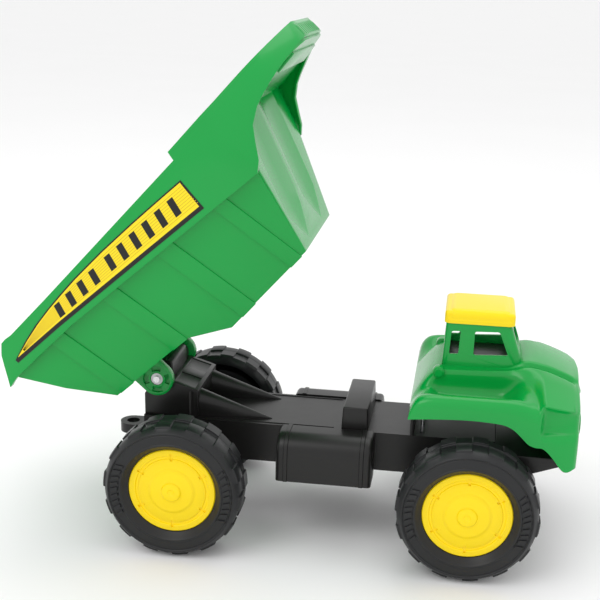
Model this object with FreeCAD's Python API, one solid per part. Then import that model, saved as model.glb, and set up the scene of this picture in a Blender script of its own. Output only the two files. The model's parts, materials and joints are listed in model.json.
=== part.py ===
import FreeCAD, Part
import math
import os

# Toy dump truck, 1:1, millimetres.  +X is forward, +Y is the truck's left side, +Z is up.
# The pieces are drawn with the rear axle above X = 0 and the ground at Z = 0, and are moved
# along X at the end, so that the origin is the middle of the truck's footprint on the ground.
# The dump bed is drawn lowered, about its own hinge, and then raised to the rest position.

os.makedirs("parts", exist_ok=True)

# ---------------------------------------------------------------- driving dimensions
WHEELBASE = 218.0
WHEEL_R = 52.6
AXLE_Z = WHEEL_R
WALL = 2.6                      # moulded plastic wall

AXLE_R = 2.5
WHEEL_BORE_R = 2.56             # running fit on the axle
AXLE_HALF = 90.5
TYRE_IN = 68.2                  # wheel's inner plane, from the centre plane
TYRE_OUT = 102.1                # sidewall plane
TREAD_IN = 71.3
TREAD_OUT = 96.2
SIDEWALL_R = 48.0
RIM_MOUTH_R = 37.0
DISC_SEAT_R = 33.0
DISC_R = 32.9
DISC_BACK = 92.2
HUB_R = 9.0
WEB_IN = 84.2
WEB_OUT = 87.2
NUT_GAP = 0.4
NUT_T = 1.6
NUT_R = 6.5

DECK_Z = 86.9
SKIRT_Z = 55.8
DECK_HALF = 34.7
REAR_X = -37.7
FRONT_X = 284.0
BEAM_HALF = 67.6                # axle beam's end, just inside the wheel
BEAM_LOW = 44.0
BEAM_HIGH = 62.0
BEAM_LONG = 20.0
FRONT_BLOCK_HALF = 58.0

TOWER_FRONT_X = 5.2
TOWER_HALF = 32.3
TOWER_EDGE_Z = 110.0
TOWER_STEP_X = -16.5
TOWER_STEP_Z = 116.0
TOWER_TOP_HALF = 22.7
HINGE_X = -25.9
HINGE_Z = 118.5
TOWER_TOP_Z = HINGE_Z + 10.4
PIN_R = 2.5
PIN_BORE_R = 2.56               # running fit in the bed's ears
PIN_BOSS_R = 8.0
EAR_IN = 33.0
EAR_OUT = 39.3
EAR_R = 12.9
RAISE_DEG = 48.5                # from lowered on its rest block to raised on the tower
STOP_GAP = 0.35                 # between the raised bed's floor and the tower's sloping stop face

TOW_X = -56.8
TOW_R = 10.3
TOW_HOLE_R = 5.2
TOW_LOW = 59.3
TOW_T = 8.0

REST_X0 = 118.8
REST_X1 = 137.9
REST_TOP_Z = 105.5
REST_TOP_HALF = 33.6
REST_BASE_HALF = 34.2
REST_DRAFT = 1.2

TANK_X0 = 71.3
TANK_X1 = 144.6
TANK_OUT = 62.0
TANK_LOW = 51.7
TANK_HIGH = 88.5

CAB_HALF = 80.6
CAB_WALL = 2.4
GLASS_LOW_HALF = 28.5
GLASS_TOP_HALF = 26.0
CAB_TOP_Z = 176.0
BOSS_R = 4.6
BOSS_Y = 24.0
BOSS_XS = (180.0, 268.0)
SCREW_R = 1.5
SCREW_HOLE_R = 1.7
SCREW_UP = 14.0
SCREW_HEAD_R = 3.2
SCREW_HEAD_T = 2.0

ROOF_X0 = 191.2
ROOF_X1 = 243.6
ROOF_HALF = 27.5
ROOF_LOW = CAB_TOP_Z
ROOF_HIGH = 186.5

BAND_HALF = 98.5                # bed's upper band
FLOOR_HALF = 65.5               # bed's width at its lowest edge
TUB_HALF = 93.0                 # bed's width under the band
LIP_HALF = 40.3
DECAL_T = 0.4


# ---------------------------------------------------------------- helpers
def vec(x, y, z):
    return FreeCAD.Vector(x, y, z)


def box(x0, x1, y0, y1, z0, z1):
    return Part.makeBox(x1 - x0, y1 - y0, z1 - z0, vec(x0, y0, z0))


def face_of(points):
    return Part.Face(Part.makePolygon(points + [points[0]]))


def side_face(profile, y):
    return face_of([vec(x, y, z) for x, z in profile])


def side_prism(profile, half):
    """A side view outline (x, z), pushed out to both sides."""
    return side_face(profile, -half).extrude(vec(0, 2 * half, 0))


def front_prism(profile, x0, x1):
    """A front view outline (y, z), pushed along X."""
    return face_of([vec(x0, y, z) for y, z in profile]).extrude(vec(x1 - x0, 0, 0))


def inset_prism(profile, wall, half):
    """The side view outline moved inwards by the wall, and pushed out to both sides."""
    inner = side_face(profile, -half).makeOffset2D(-wall, join=2)
    return inner.extrude(vec(0, 2 * half, 0))


def mirrored_outline(points):
    """An outline (a, z) given on its +a side, closed over to the -a side."""
    return points + [(-a, z) for a, z in reversed(points)]


def rod_y(x, z, y0, y1, radius):
    return Part.makeCylinder(radius, y1 - y0, vec(x, y0, z), vec(0, 1, 0))


def rod_z(x, y, z0, z1, radius):
    return Part.makeCylinder(radius, z1 - z0, vec(x, y, z0), vec(0, 0, 1))


def turned_y(profile, x, z):
    """A profile (radius, y) turned about the line through (x, z) along Y."""
    outline = face_of([vec(x + r, y, z) for r, y in profile])
    return outline.revolve(vec(x, 0, z), vec(0, 1, 0), 360)


def loft_boxes(low, high):
    """A solid between two level rectangles, each (x0, x1, half width, z)."""
    wires = []
    for x0, x1, half, z in (low, high):
        corners = [vec(x0, -half, z), vec(x1, -half, z), vec(x1, half, z), vec(x0, half, z)]
        wires.append(Part.makePolygon(corners + [corners[0]]))
    return Part.makeLoft(wires, True, True)


def joined(shapes):
    whole = shapes[0].multiFuse(shapes[1:])
    return whole.removeSplitter()


def mirror_y(shape):
    return shape.mirror(vec(0, 0, 0), vec(0, 1, 0))


# ---------------------------------------------------------------- chassis
def chassis_frame():
    tower_profile = [(REAR_X, SKIRT_Z), (TOWER_FRONT_X, SKIRT_Z), (TOWER_FRONT_X, TOWER_EDGE_Z),
                     (TOWER_STEP_X, TOWER_STEP_Z), (REAR_X, TOWER_STEP_Z)]
    top_profile = [(REAR_X, TOWER_EDGE_Z - 10), (TOWER_STEP_X + 0.6, TOWER_EDGE_Z - 10),
                   (TOWER_STEP_X - 1.0, TOWER_TOP_Z), (REAR_X, TOWER_TOP_Z)]
    front_profile = [(236.0, DECK_Z), (FRONT_X, DECK_Z), (FRONT_X, 80.0), (262.0, 72.0), (236.0, 70.0)]

    outer = [box(REAR_X, FRONT_X, -DECK_HALF, DECK_HALF, SKIRT_Z, DECK_Z),
             side_prism(tower_profile, TOWER_HALF),
             side_prism(top_profile, TOWER_TOP_HALF),
             side_prism(front_profile, FRONT_BLOCK_HALF),
             rod_y(HINGE_X, HINGE_Z, -TOWER_HALF, TOWER_HALF, PIN_BOSS_R)]
    for x in (0.0, WHEELBASE):
        outer.append(box(x - BEAM_LONG / 2, x + BEAM_LONG / 2, -BEAM_HALF, BEAM_HALF, BEAM_LOW, BEAM_HIGH))
    frame = joined(outer)

    below = SKIRT_Z - 5
    inner_tower = [(REAR_X + WALL, below), (TOWER_FRONT_X - WALL, below),
                   (TOWER_FRONT_X - WALL, TOWER_EDGE_Z - WALL), (TOWER_STEP_X - 1.5, TOWER_STEP_Z - WALL - 0.4),
                   (REAR_X + WALL, TOWER_STEP_Z - WALL - 0.4)]
    inner_top = [(REAR_X + WALL, 95.0), (TOWER_STEP_X - 1.5 - WALL, 95.0),
                 (TOWER_STEP_X - 1.5 - WALL, TOWER_TOP_Z - WALL), (REAR_X + WALL, TOWER_TOP_Z - WALL)]
    inner_front = [(236.0 + WALL, 60.0), (236.0 + WALL, DECK_Z - WALL), (FRONT_X - WALL, DECK_Z - WALL),
                   (FRONT_X - WALL, 60.0)]
    hollow = joined([box(REAR_X + WALL, FRONT_X - WALL, -DECK_HALF + WALL, DECK_HALF - WALL, below, DECK_Z - WALL),
                     side_prism(inner_tower, TOWER_HALF - WALL),
                     side_prism(inner_top, TOWER_TOP_HALF - WALL),
                     side_prism(inner_front, FRONT_BLOCK_HALF - WALL)])
    pin_tube = rod_y(HINGE_X, HINGE_Z, -TOWER_HALF, TOWER_HALF, 5.0)
    for x in (0.0, WHEELBASE):
        keep = box(x - BEAM_LONG / 2, x + BEAM_LONG / 2, -BEAM_HALF, BEAM_HALF, BEAM_LOW, BEAM_HIGH)
        hollow = hollow.cut(keep)
    frame = frame.cut(hollow.cut(pin_tube))

    added = []
    for x in (60.0, 104.0, 150.0, 190.0):
        added.append(box(x - 1.2, x + 1.2, -DECK_HALF + 1, DECK_HALF - 1, SKIRT_Z + 6, DECK_Z - 1))
    for y in (-22.0, 22.0):
        gusset = side_prism([(TOWER_FRONT_X - 1, DECK_Z - 1), (62.0, DECK_Z - 1), (62.0, DECK_Z),
                             (TOWER_FRONT_X - 1, TOWER_EDGE_Z - 2)], 1.6)
        gusset.translate(vec(0, y, 0))
        added.append(gusset)
    tow_arm = box(TOW_X, REAR_X + 1, -TOW_R, TOW_R, TOW_LOW, TOW_LOW + TOW_T)
    added += [tow_arm, rod_z(TOW_X, 0, TOW_LOW, TOW_LOW + TOW_T, TOW_R)]
    frame = joined([frame] + added)

    holes = [rod_y(HINGE_X, HINGE_Z, -TOWER_HALF - 1, TOWER_HALF + 1, PIN_R),
             rod_z(TOW_X, 0, TOW_LOW - 1, TOW_LOW + TOW_T + 1, TOW_HOLE_R)]
    for x in (0.0, WHEELBASE):
        holes.append(rod_y(x, AXLE_Z, -BEAM_HALF - 1, BEAM_HALF + 1, AXLE_R))
    for x in BOSS_XS:
        for y in (-BOSS_Y, BOSS_Y):
            holes.append(rod_z(x, y, DECK_Z - WALL - 1, DECK_Z + 1, SCREW_HOLE_R))
    for hole in holes:
        frame = frame.cut(hole)
    # The tower's rear top corner is cut back to a stop face, parallel to the raised bed's floor.
    (x0, z0), (x1, z1) = TUB_PROFILE[1:3]
    swept = [(x0 - 20, z0 + 20 * (z0 - z1) / (x1 - x0) - STOP_GAP), (x1, z1 - STOP_GAP), (x1, 60), (x0 - 20, 60)]
    frame = frame.cut(raise_bed(side_prism(swept, TOWER_HALF + 1)))
    return frame.removeSplitter()


def chassis_pieces():
    """The chassis moulding, divided where its simple parts meet, so that each keeps its own form."""
    frame = chassis_frame()
    half = BEAM_LONG / 2
    regions = {
        "tow_hitch": box(-80.0, REAR_X, -40.0, 40.0, 50.0, 90.0),
        "hinge_tower": box(REAR_X, 63.0, -40.0, 40.0, DECK_Z, 140.0),
        "rear_axle_beam": box(-half, half, -70.0, 70.0, BEAM_LOW, BEAM_HIGH),
        "front_axle_beam": box(WHEELBASE - half, WHEELBASE + half, -70.0, 70.0, BEAM_LOW, BEAM_HIGH),
        "cab_bracket": box(236.0, FRONT_X, -60.0, 60.0, 50.0, DECK_Z),
    }
    pieces = {}
    deck = frame
    for name, region in regions.items():
        pieces[name] = frame.common(region)
        deck = deck.cut(region)
    pieces["chassis_deck"] = deck
    return pieces


def bed_rest_block():
    base = (REST_X0 - REST_DRAFT, REST_X1 + REST_DRAFT, REST_BASE_HALF, DECK_Z)
    top = (REST_X0, REST_X1, REST_TOP_HALF, REST_TOP_Z)
    inner_base = (REST_X0 + WALL - REST_DRAFT, REST_X1 - WALL + REST_DRAFT, REST_BASE_HALF - WALL, DECK_Z)
    inner_top = (REST_X0 + WALL, REST_X1 - WALL, REST_TOP_HALF - WALL, REST_TOP_Z - WALL)
    shell = loft_boxes(base, top).cut(loft_boxes(inner_base, inner_top))
    return shell


def side_tank():
    """The left tank: a drum with a round shoulder and a flat lower face, open at the bottom."""
    y0 = DECK_HALF
    shoulder = 15.0

    def outline(gap, low):
        start = math.radians(90)
        arc = [(TANK_OUT - shoulder + (shoulder - gap) * math.cos(start * k / 6),
                TANK_HIGH - shoulder + (shoulder - gap) * math.sin(start * k / 6)) for k in range(7)]
        return [(y0 + gap, low), (TANK_OUT - gap, low)] + arc + [(y0 + gap, TANK_HIGH - gap)]

    drum = front_prism(outline(0.0, TANK_LOW), TANK_X0, TANK_X1)
    for x in (TANK_X0 + 5.5, TANK_X1 - 8.5):
        drum = drum.fuse(front_prism(outline(-0.5, TANK_LOW + 0.1), x, x + 3.0))
    drum = drum.common(box(TANK_X0, TANK_X1, y0, TANK_OUT + 2, TANK_LOW, TANK_HIGH + 2))
    inside = front_prism(outline(WALL, TANK_LOW - 5), TANK_X0 + WALL, TANK_X1 - WALL)
    return drum.cut(inside).removeSplitter()


# ---------------------------------------------------------------- cab
FENDER_PROFILE = [(170.0, 118.0), (176.5, 127.0), (183.0, 133.5), (262.0, 134.5), (290.0, 132.0),
                  (295.5, 119.0), (295.5, 84.0), (285.0, 82.0), (269.0, 103.5), (258.0, 103.0),
                  (247.0, 115.0), (236.0, 118.0)]
HOOD_PROFILE = [(240.0, 128.0), (240.0, 151.0), (253.0, 151.0), (272.0, 147.5), (289.0, 141.0), (292.0, 128.0)]
HOOD_SECTION = [(68.0, 128.0), (58.0, 138.0), (36.0, 146.5), (28.5, 151.0)]
BELT_BOX = (187.5, 254.0, 36.5, 128.0, 144.0)


def cab_block(wall):
    """The cab's outer form, or with a wall the hollow that leaves that wall."""
    half = CAB_HALF - wall
    if wall:
        fender = inset_prism(FENDER_PROFILE, wall, half)
        below = inset_prism([(170.0, 75.0), (170.0, 118.0), (176.5, 127.0), (183.0, 133.5), (262.0, 134.5),
                             (290.0, 132.0), (295.5, 119.0), (295.5, 84.0), (285.0, 75.0)], wall, half)
        blocks = [fender, below]
    else:
        blocks = [side_prism(FENDER_PROFILE, half)]
    hood = side_prism([(x - wall if x > 260 else x, z - wall if z > 140 else z) for x, z in HOOD_PROFILE], half)
    section = mirrored_outline([(y - wall, z - wall) for y, z in HOOD_SECTION])
    blocks.append(hood.common(front_prism(section, 235.0, 295.0)))
    x0, x1, y1, z0, z1 = BELT_BOX
    blocks.append(box(x0 + wall, x1, -y1 + wall, y1 - wall, z0 - wall, z1 - wall))
    return joined(blocks)


def glasshouse(wall, top):
    low = (187.5 + wall, 254.0 - wall, GLASS_LOW_HALF - wall, 140.0 - wall)
    high = (193.5 + wall, 241.5 - wall, GLASS_TOP_HALF - wall, top)
    return loft_boxes(low, high)


def cab_body():
    rear_skirt = box(170.0, 170.0 + CAB_WALL, -36.0, 36.0, DECK_Z + 0.2, 120.0)
    shell = joined([cab_block(0.0), glasshouse(0.0, CAB_TOP_Z), rear_skirt])
    hollow = joined([cab_block(CAB_WALL), glasshouse(CAB_WALL, CAB_TOP_Z + 1.0)])
    shell = shell.cut(hollow)

    slot = [(197.0, 169.4), (203.6, 169.8), (202.7, 152.4), (196.3, 152.1)]
    window = [(214.5, 170.1), (232.7, 170.9), (239.8, 153.6), (214.4, 152.2)]
    for outline in (slot, window):
        shell = shell.cut(side_prism(outline, GLASS_LOW_HALF + 4))
    shell = shell.cut(box(232.0, 262.0, -19.5, 19.5, 153.5, 171.0))
    shell = shell.cut(box(180.0, 195.0, -18.0, 18.0, 153.0, 170.0))

    solids = [shell]
    ceilings = {BOSS_XS[0]: 129.0, BOSS_XS[1]: 146.0}
    for x in BOSS_XS:
        for y in (-BOSS_Y, BOSS_Y):
            solids.append(rod_z(x, y, DECK_Z, ceilings[x], BOSS_R))
    body = joined(solids)
    for x in BOSS_XS:
        for y in (-BOSS_Y, BOSS_Y):
            body = body.cut(rod_z(x, y, DECK_Z - 1, DECK_Z + SCREW_UP, SCREW_R))
    return body


def cab_pieces():
    """The cab moulding, divided at the belt line into its lower body and the glasshouse above it."""
    whole = cab_body()
    above = joined([box(185.0, 240.0, -45.0, 45.0, 144.0, 183.0), box(240.0, 256.0, -45.0, 45.0, 151.0, 183.0)])
    return {"cab_body": whole.cut(above), "cab_glasshouse": whole.common(above)}


def cab_screws():
    screws = []
    seat = DECK_Z - WALL
    for x in BOSS_XS:
        for y in (-BOSS_Y, BOSS_Y):
            shank = rod_z(x, y, seat - SCREW_HEAD_T, DECK_Z + SCREW_UP - 1, SCREW_R)
            head = rod_z(x, y, seat - SCREW_HEAD_T, seat, SCREW_HEAD_R)
            screws.append(shank.fuse(head).removeSplitter())
    return Part.makeCompound(screws)


def cab_roof():
    cap = box(ROOF_X0, ROOF_X1, -ROOF_HALF, ROOF_HALF, ROOF_LOW, ROOF_HIGH)
    upright = [e for e in cap.Edges if abs(e.tangentAt(e.FirstParameter).z) > 0.9]
    cap = cap.makeFillet(7.0, upright)
    rim = [e for e in cap.Edges if e.BoundBox.ZMin > ROOF_HIGH - 0.01]
    cap = cap.makeFillet(5.0, rim)
    fit = 0.25
    plug_half = GLASS_TOP_HALF - CAB_WALL - fit
    x0 = 193.5 + CAB_WALL + fit + 0.7
    x1 = 241.5 - CAB_WALL - fit
    plug = box(x0, x1, -plug_half, plug_half, ROOF_LOW - 3.0, ROOF_LOW + 1.0)
    hollow = box(x0 + 2, x1 - 2, -plug_half + 2, plug_half - 2, ROOF_LOW - 4.0, ROOF_HIGH - WALL - 1.0)
    return cap.fuse(plug).removeSplitter().cut(hollow)


# ---------------------------------------------------------------- wheels
def wheel_tyre(x):
    """One left wheel's black moulding: hollow tyre, web and hub sleeve, open on its inner side."""
    skin = 3.2
    profile = [(WHEEL_BORE_R, TYRE_IN), (HUB_R, TYRE_IN), (HUB_R, WEB_IN), (30.0 + skin, WEB_IN),
               (34.5, DISC_BACK - skin), (38.0, TYRE_OUT - skin), (SIDEWALL_R - 1.5, TYRE_OUT - skin),
               (WHEEL_R - skin, TREAD_OUT - 1.0), (WHEEL_R - skin, TREAD_IN + 1.0), (43.0, TYRE_IN),
               (46.5, TYRE_IN), (WHEEL_R, TREAD_IN), (WHEEL_R, TREAD_OUT), (SIDEWALL_R, TYRE_OUT),
               (RIM_MOUTH_R, TYRE_OUT), (DISC_SEAT_R, TREAD_OUT), (DISC_SEAT_R, DISC_BACK),
               (30.0, DISC_BACK), (30.0, WEB_OUT), (WHEEL_BORE_R, WEB_OUT)]
    shell = turned_y(profile, x, AXLE_Z)
    ribs = []
    for k in range(6):
        rib = box(x + HUB_R - 1, x + WHEEL_R - skin + 1, TYRE_IN + 4, WEB_IN + 1, AXLE_Z - 1.2, AXLE_Z + 1.2)
        ribs.append(rib.rotate(vec(x, 0, AXLE_Z), vec(0, 1, 0), 60 * k))
    return joined([shell] + ribs)


def wheel_disc(x):
    """The yellow disc that snaps into the tyre and hides the end of the axle."""
    front = TREAD_OUT
    profile = [(0, DISC_BACK + 0.6), (6, DISC_BACK + 0.6), (8, DISC_BACK), (DISC_R, DISC_BACK), (DISC_R, front),
               (28.2, front), (27.6, front - 0.7), (25.6, front - 0.7), (25.0, front), (17.5, front + 0.2),
               (16.5, front + 1.4), (7.5, front + 1.8), (6.5, front + 3.4), (0, front + 3.6)]
    return turned_y(profile, x, AXLE_Z)


def axle(x):
    return rod_y(x, AXLE_Z, -AXLE_HALF, AXLE_HALF, AXLE_R)


def axle_push_nuts():
    nuts = []
    for x in (0.0, WHEELBASE):
        y0 = WEB_OUT + NUT_GAP
        nut = rod_y(x, AXLE_Z, y0, y0 + NUT_T, NUT_R).cut(rod_y(x, AXLE_Z, y0 - 1, y0 + NUT_T + 1, AXLE_R))
        nuts += [nut, mirror_y(nut)]
    return Part.makeCompound(nuts)


# ---------------------------------------------------------------- hinge
def hinge_pin():
    return rod_y(HINGE_X, HINGE_Z, -EAR_OUT, EAR_OUT, PIN_R)


def hinge_push_nuts():
    """Two spring nuts in the recesses of the bed's ears."""
    y0 = EAR_OUT - 2.6
    nut = rod_y(HINGE_X, HINGE_Z, y0, y0 + 1.2, 4.6).cut(rod_y(HINGE_X, HINGE_Z, y0 - 1, y0 + 3, PIN_R))
    return Part.makeCompound([nut, mirror_y(nut)])


# ---------------------------------------------------------------- dump bed, drawn lowered about its hinge
LEDGE = [(187.8, 48.3), (150.0, 53.7), (7.1, 72.8), (-48.3, 75.7), (-55.9, 74.2)]
BAND_PROFILE = [(-55.9, 74.2), (-41.3, 94.3), (-30.0, 98.6), (154.3, 94.8), (156.4, 101.5),
                (205.0, 101.1), (205.0, 90.5)] + LEDGE[:-1]
TUB_PROFILE = [(-48.3, 75.7), (-13.7, 13.9), (55.1, 6.0), (83.5, -12.6), (163.4, -12.6),
               (189.0, 51.0), (150.0, 56.5), (7.1, 75.6), (-49.0, 77.0)]
TUB_TALL = [(-13.7, 13.9), (55.1, 6.0), (83.5, -12.6), (163.4, -12.6), (205.6, 92.0), (205.6, 110.0),
            (-67.5, 110.0)]
TUB_SECTION = [(FLOOR_HALF, -12.6), (TUB_HALF, 56.0), (TUB_HALF, 120.0)]
BAND_HOLLOW = [(-80.0, 78.4), (-48.0, 78.4), (7.1, 75.4), (150.0, 56.3), (185.8, 51.2), (201.6, 90.0),
               (201.6, 140.0), (-80.0, 140.0)]
VISOR_PLAN = [(188.0, 98.5), (208.0, 94.0), (226.0, 86.5), (241.0, 75.0), (255.0, 58.0), (266.5, LIP_HALF)]
VISOR_PROFILE = [(157.0, 101.5), (205.0, 101.1), (232.5, 102.3), (266.6, 103.4), (266.6, 89.2),
                 (246.0, 87.0), (232.1, 82.8), (218.0, 78.0), (208.0, 72.1), (199.5, 61.0), (194.8, 53.9),
                 (187.8, 48.3), (180.0, 49.4), (157.0, 60.0)]
CANOPY_LOW = 87.4
DECAL_PROFILE = [(-36.4, 82.0), (-34.0, 84.6), (-5.0, 91.0), (40.0, 92.0), (148.2, 83.6), (144.6, 58.6),
                 (100.0, 64.6), (8.0, 77.0)]


def visor_plan_face(wall):
    plan = [(x, y - wall) for x, y in VISOR_PLAN]
    plan[-1] = (plan[-1][0] - wall, plan[-1][1])
    outline = [(150.0, plan[0][1])] + plan
    points = [vec(x, y, 40) for x, y in outline] + [vec(x, -y, 40) for x, y in reversed(outline)]
    return face_of(points)


def bed_lowered():
    band = side_prism(BAND_PROFILE, BAND_HALF)
    section = front_prism(mirrored_outline(TUB_SECTION), -90.0, 230.0)
    tub = side_prism(TUB_PROFILE, TUB_HALF + 1).common(section)
    inner_section = [(FLOOR_HALF - WALL, -20.0), (FLOOR_HALF - WALL, -12.6), (TUB_HALF - WALL, 56.0),
                     (TUB_HALF - WALL, 120.0)]
    tub_hollow = inset_prism(TUB_TALL, WALL, TUB_HALF + 1)
    tub_hollow = tub_hollow.common(front_prism(mirrored_outline(inner_section), -90.0, 230.0))
    band_hollow = side_prism(BAND_HOLLOW, BAND_HALF - WALL)
    shell = band.fuse(tub).cut(tub_hollow.common(box(-90, 201.6, -100, 100, -20, 140))).cut(band_hollow)

    walls = visor_plan_face(0.0).extrude(vec(0, 0, 70)).cut(visor_plan_face(WALL).extrude(vec(0, 0, 70)))
    walls = walls.common(side_prism(VISOR_PROFILE, BAND_HALF + 1))
    canopy = visor_plan_face(0.5).extrude(vec(0, 0, 70))
    canopy = canopy.common(box(200.0, 267.0, -100, 100, CANOPY_LOW, CANOPY_LOW + WALL))
    pieces = [shell, walls, canopy]
    for y0, y1 in ((EAR_IN, EAR_OUT), (-EAR_OUT, -EAR_IN)):
        pieces.append(rod_y(0, 0, y0, y1, EAR_R))
        pieces.append(box(-EAR_R, EAR_R, y0, y1, 0, 12.4))
        pieces.append(side_face([(-EAR_R, 12), (EAR_R, 12), (EAR_R, 12.2), (-EAR_R, 15.2)], y0).extrude(
            vec(0, y1 - y0, 0)))
    bed = joined(pieces)
    bed = bed.cut(rod_y(0, 0, -EAR_OUT - 1, EAR_OUT + 1, PIN_BORE_R))
    for y0, y1 in ((EAR_OUT - 2.8, EAR_OUT + 1), (-EAR_OUT - 1, -EAR_OUT + 2.8)):
        bed = bed.cut(rod_y(0, 0, y0, y1, 5.0))
    return bed


def decal_lowered():
    """The left decal, lying on the band's outer face."""
    return side_face(DECAL_PROFILE, BAND_HALF).extrude(vec(0, DECAL_T, 0))


def raise_bed(shape):
    raised = shape.copy()
    raised.rotate(vec(0, 0, 0), vec(0, 1, 0), -RAISE_DEG)
    raised.translate(vec(HINGE_X, 0, HINGE_Z))
    return raised


# ---------------------------------------------------------------- assembly
def assemble():
    nodes = {
        "bed_rest_block": bed_rest_block(),
        "cab_roof": cab_roof(),
        "cab_screws": cab_screws(),
        "front_axle": axle(WHEELBASE),
        "rear_axle": axle(0.0),
        "axle_push_nuts": axle_push_nuts(),
        "hinge_pin": hinge_pin(),
        "hinge_push_nuts": hinge_push_nuts(),
        "dump_bed": raise_bed(bed_lowered()),
        "bed_decal_left": raise_bed(decal_lowered()),
        "bed_decal_right": raise_bed(mirror_y(decal_lowered())),
    }
    nodes.update(chassis_pieces())
    nodes.update(cab_pieces())
    tank = side_tank()
    nodes["side_tank_left"] = tank
    nodes["side_tank_right"] = mirror_y(tank)
    for end, x in (("front", WHEELBASE), ("rear", 0.0)):
        for piece, make in (("tyre", wheel_tyre), ("hub_disc", wheel_disc)):
            left = make(x)
            nodes[f"{piece}_{end}_left"] = left
            nodes[f"{piece}_{end}_right"] = mirror_y(left)
    return nodes


nodes = assemble()
whole = Part.makeCompound(list(nodes.values())).BoundBox
shift = round(-(whole.XMin + whole.XMax) / 2, 3)
for name, shape in sorted(nodes.items()):
    shape.translate(vec(shift, 0, 0))
    shape.exportStep(f"parts/{name}.step")
    print(f"{name:18s} valid {shape.isValid()} solids {len(shape.Solids)} volume {shape.Volume / 1000:8.2f} cm3")
print(f"shift along X {shift:.3f}; size {whole.XLength:.2f} x {whole.YLength:.2f} x {whole.ZLength:.2f}; "
      f"lowest {whole.ZMin:.4f}")
print(f"hinge at X {HINGE_X + shift:.3f}, Z {HINGE_Z:.3f}; rear axle at X {shift:.3f}")
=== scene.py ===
# %% [markdown]
# # A toy dump truck, dressed piece by piece
# The engineering model is already there: the loader brings in every moulded part at its real size and
# place, grouped by the bodies that move. This lesson gives the truck its looks. Some parts only need a
# finish. Others, such as the bed, the cab and the tyres, are modelled again with the fine shapes that a
# mould gives them, and stand in for the plain ones.

# %% Load the frame
import bpy
import bmesh
import json
import math
from mathutils import Vector, Matrix


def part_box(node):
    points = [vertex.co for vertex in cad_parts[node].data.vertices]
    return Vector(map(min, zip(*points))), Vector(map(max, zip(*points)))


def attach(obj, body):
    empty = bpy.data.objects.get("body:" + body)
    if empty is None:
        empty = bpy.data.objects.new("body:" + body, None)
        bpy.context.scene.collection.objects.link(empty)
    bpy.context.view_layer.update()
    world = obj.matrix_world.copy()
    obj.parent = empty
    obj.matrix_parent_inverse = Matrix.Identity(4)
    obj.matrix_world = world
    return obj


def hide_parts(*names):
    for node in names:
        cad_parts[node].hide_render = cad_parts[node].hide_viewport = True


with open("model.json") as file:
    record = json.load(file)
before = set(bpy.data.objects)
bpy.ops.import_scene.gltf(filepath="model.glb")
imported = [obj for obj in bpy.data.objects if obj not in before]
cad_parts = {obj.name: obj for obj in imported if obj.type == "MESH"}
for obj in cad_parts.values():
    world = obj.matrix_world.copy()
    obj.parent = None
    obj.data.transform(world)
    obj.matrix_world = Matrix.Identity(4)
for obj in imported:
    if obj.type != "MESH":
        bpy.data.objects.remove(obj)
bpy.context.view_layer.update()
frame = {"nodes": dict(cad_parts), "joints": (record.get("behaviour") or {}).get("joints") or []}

# %% [markdown]
# ## Two rulers
# Two rulers make the numbers easy to read. `truck` takes millimetres forward from the rear axle, to the
# truck's left and up from the ground. The bed tips, so its own shapes are simplest when it lies flat:
# they are drawn about the hinge pin, and `tip_up` then raises them by the joint's full travel. Points
# closer than `SAME` count as one.

# %% The rulers
rear_low, rear_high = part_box("rear_axle")
AXLE_X = (rear_low.x + rear_high.x) / 2
AXLE_Z = (rear_low.z + rear_high.z) / 2
tilt = next(j for j in frame["joints"] if j["name"] == "bed_tilt")
HINGE = Vector(tilt["pos_m"])
TIPPED = math.radians(tilt["range_deg"][1])
MM = 0.001
SAME = 0.01 * MM


def truck(x, y, z):
    """Millimetres from the rear axle, the centre plane and the ground, as a point of the frame."""
    return Vector((AXLE_X + x * MM, y * MM, z * MM))


def flat_bed(f, y, u):
    """Millimetres forward and up from the hinge pin, with the bed lying flat."""
    return Vector((f * MM, y * MM, u * MM))


print("hinge", [round(v * 1000, 1) for v in HINGE], "tips", round(math.degrees(TIPPED), 1), "degrees")

# %% [markdown]
# ## A small bench of modelling moves
# Modelling by hand is mostly the same few moves: pick nothing, pick some faces or edges, extrude, bevel.
# Each helper below is one of those moves, so that the later cells read like a list of steps. A drawn
# line is made as a person would make it, by extruding one corner from point to point.

# %% Picking
def pick_none():
    """Leaves edit mode and lets go of everything."""
    if bpy.context.object and bpy.context.object.mode != "OBJECT":
        bpy.ops.object.mode_set(mode="OBJECT")
    bpy.ops.object.select_all(action="DESELECT")


def take(piece):
    """Picks one piece and makes it the one that is worked on."""
    pick_none()
    piece.select_set(True)
    bpy.context.view_layer.objects.active = piece


def open_up(piece, kind="FACE"):
    """Edit mode with nothing picked."""
    take(piece)
    bpy.ops.object.mode_set(mode="EDIT")
    bpy.ops.mesh.select_mode(type=kind)
    bpy.ops.mesh.select_all(action="DESELECT")


def pick_faces(piece, wanted):
    """Picks the faces for which wanted(centre, normal) is true, and returns how many."""
    mesh = bmesh.from_edit_mesh(piece.data)
    for face in mesh.faces:
        face.select_set(bool(wanted(face.calc_center_median(), face.normal)))
    mesh.select_flush_mode()
    bmesh.update_edit_mesh(piece.data)
    return sum(face.select for face in mesh.faces)


def pick_edges(piece, wanted):
    """Picks the edges for which wanted(first end, second end) is true, and returns how many."""
    mesh = bmesh.from_edit_mesh(piece.data)
    for edge in mesh.edges:
        edge.select_set(bool(wanted(edge.verts[0].co, edge.verts[1].co)))
    bmesh.update_edit_mesh(piece.data)
    return sum(edge.select for edge in mesh.edges)


def shut():
    """Leaves edit mode."""
    bpy.ops.object.mode_set(mode="OBJECT")


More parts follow.
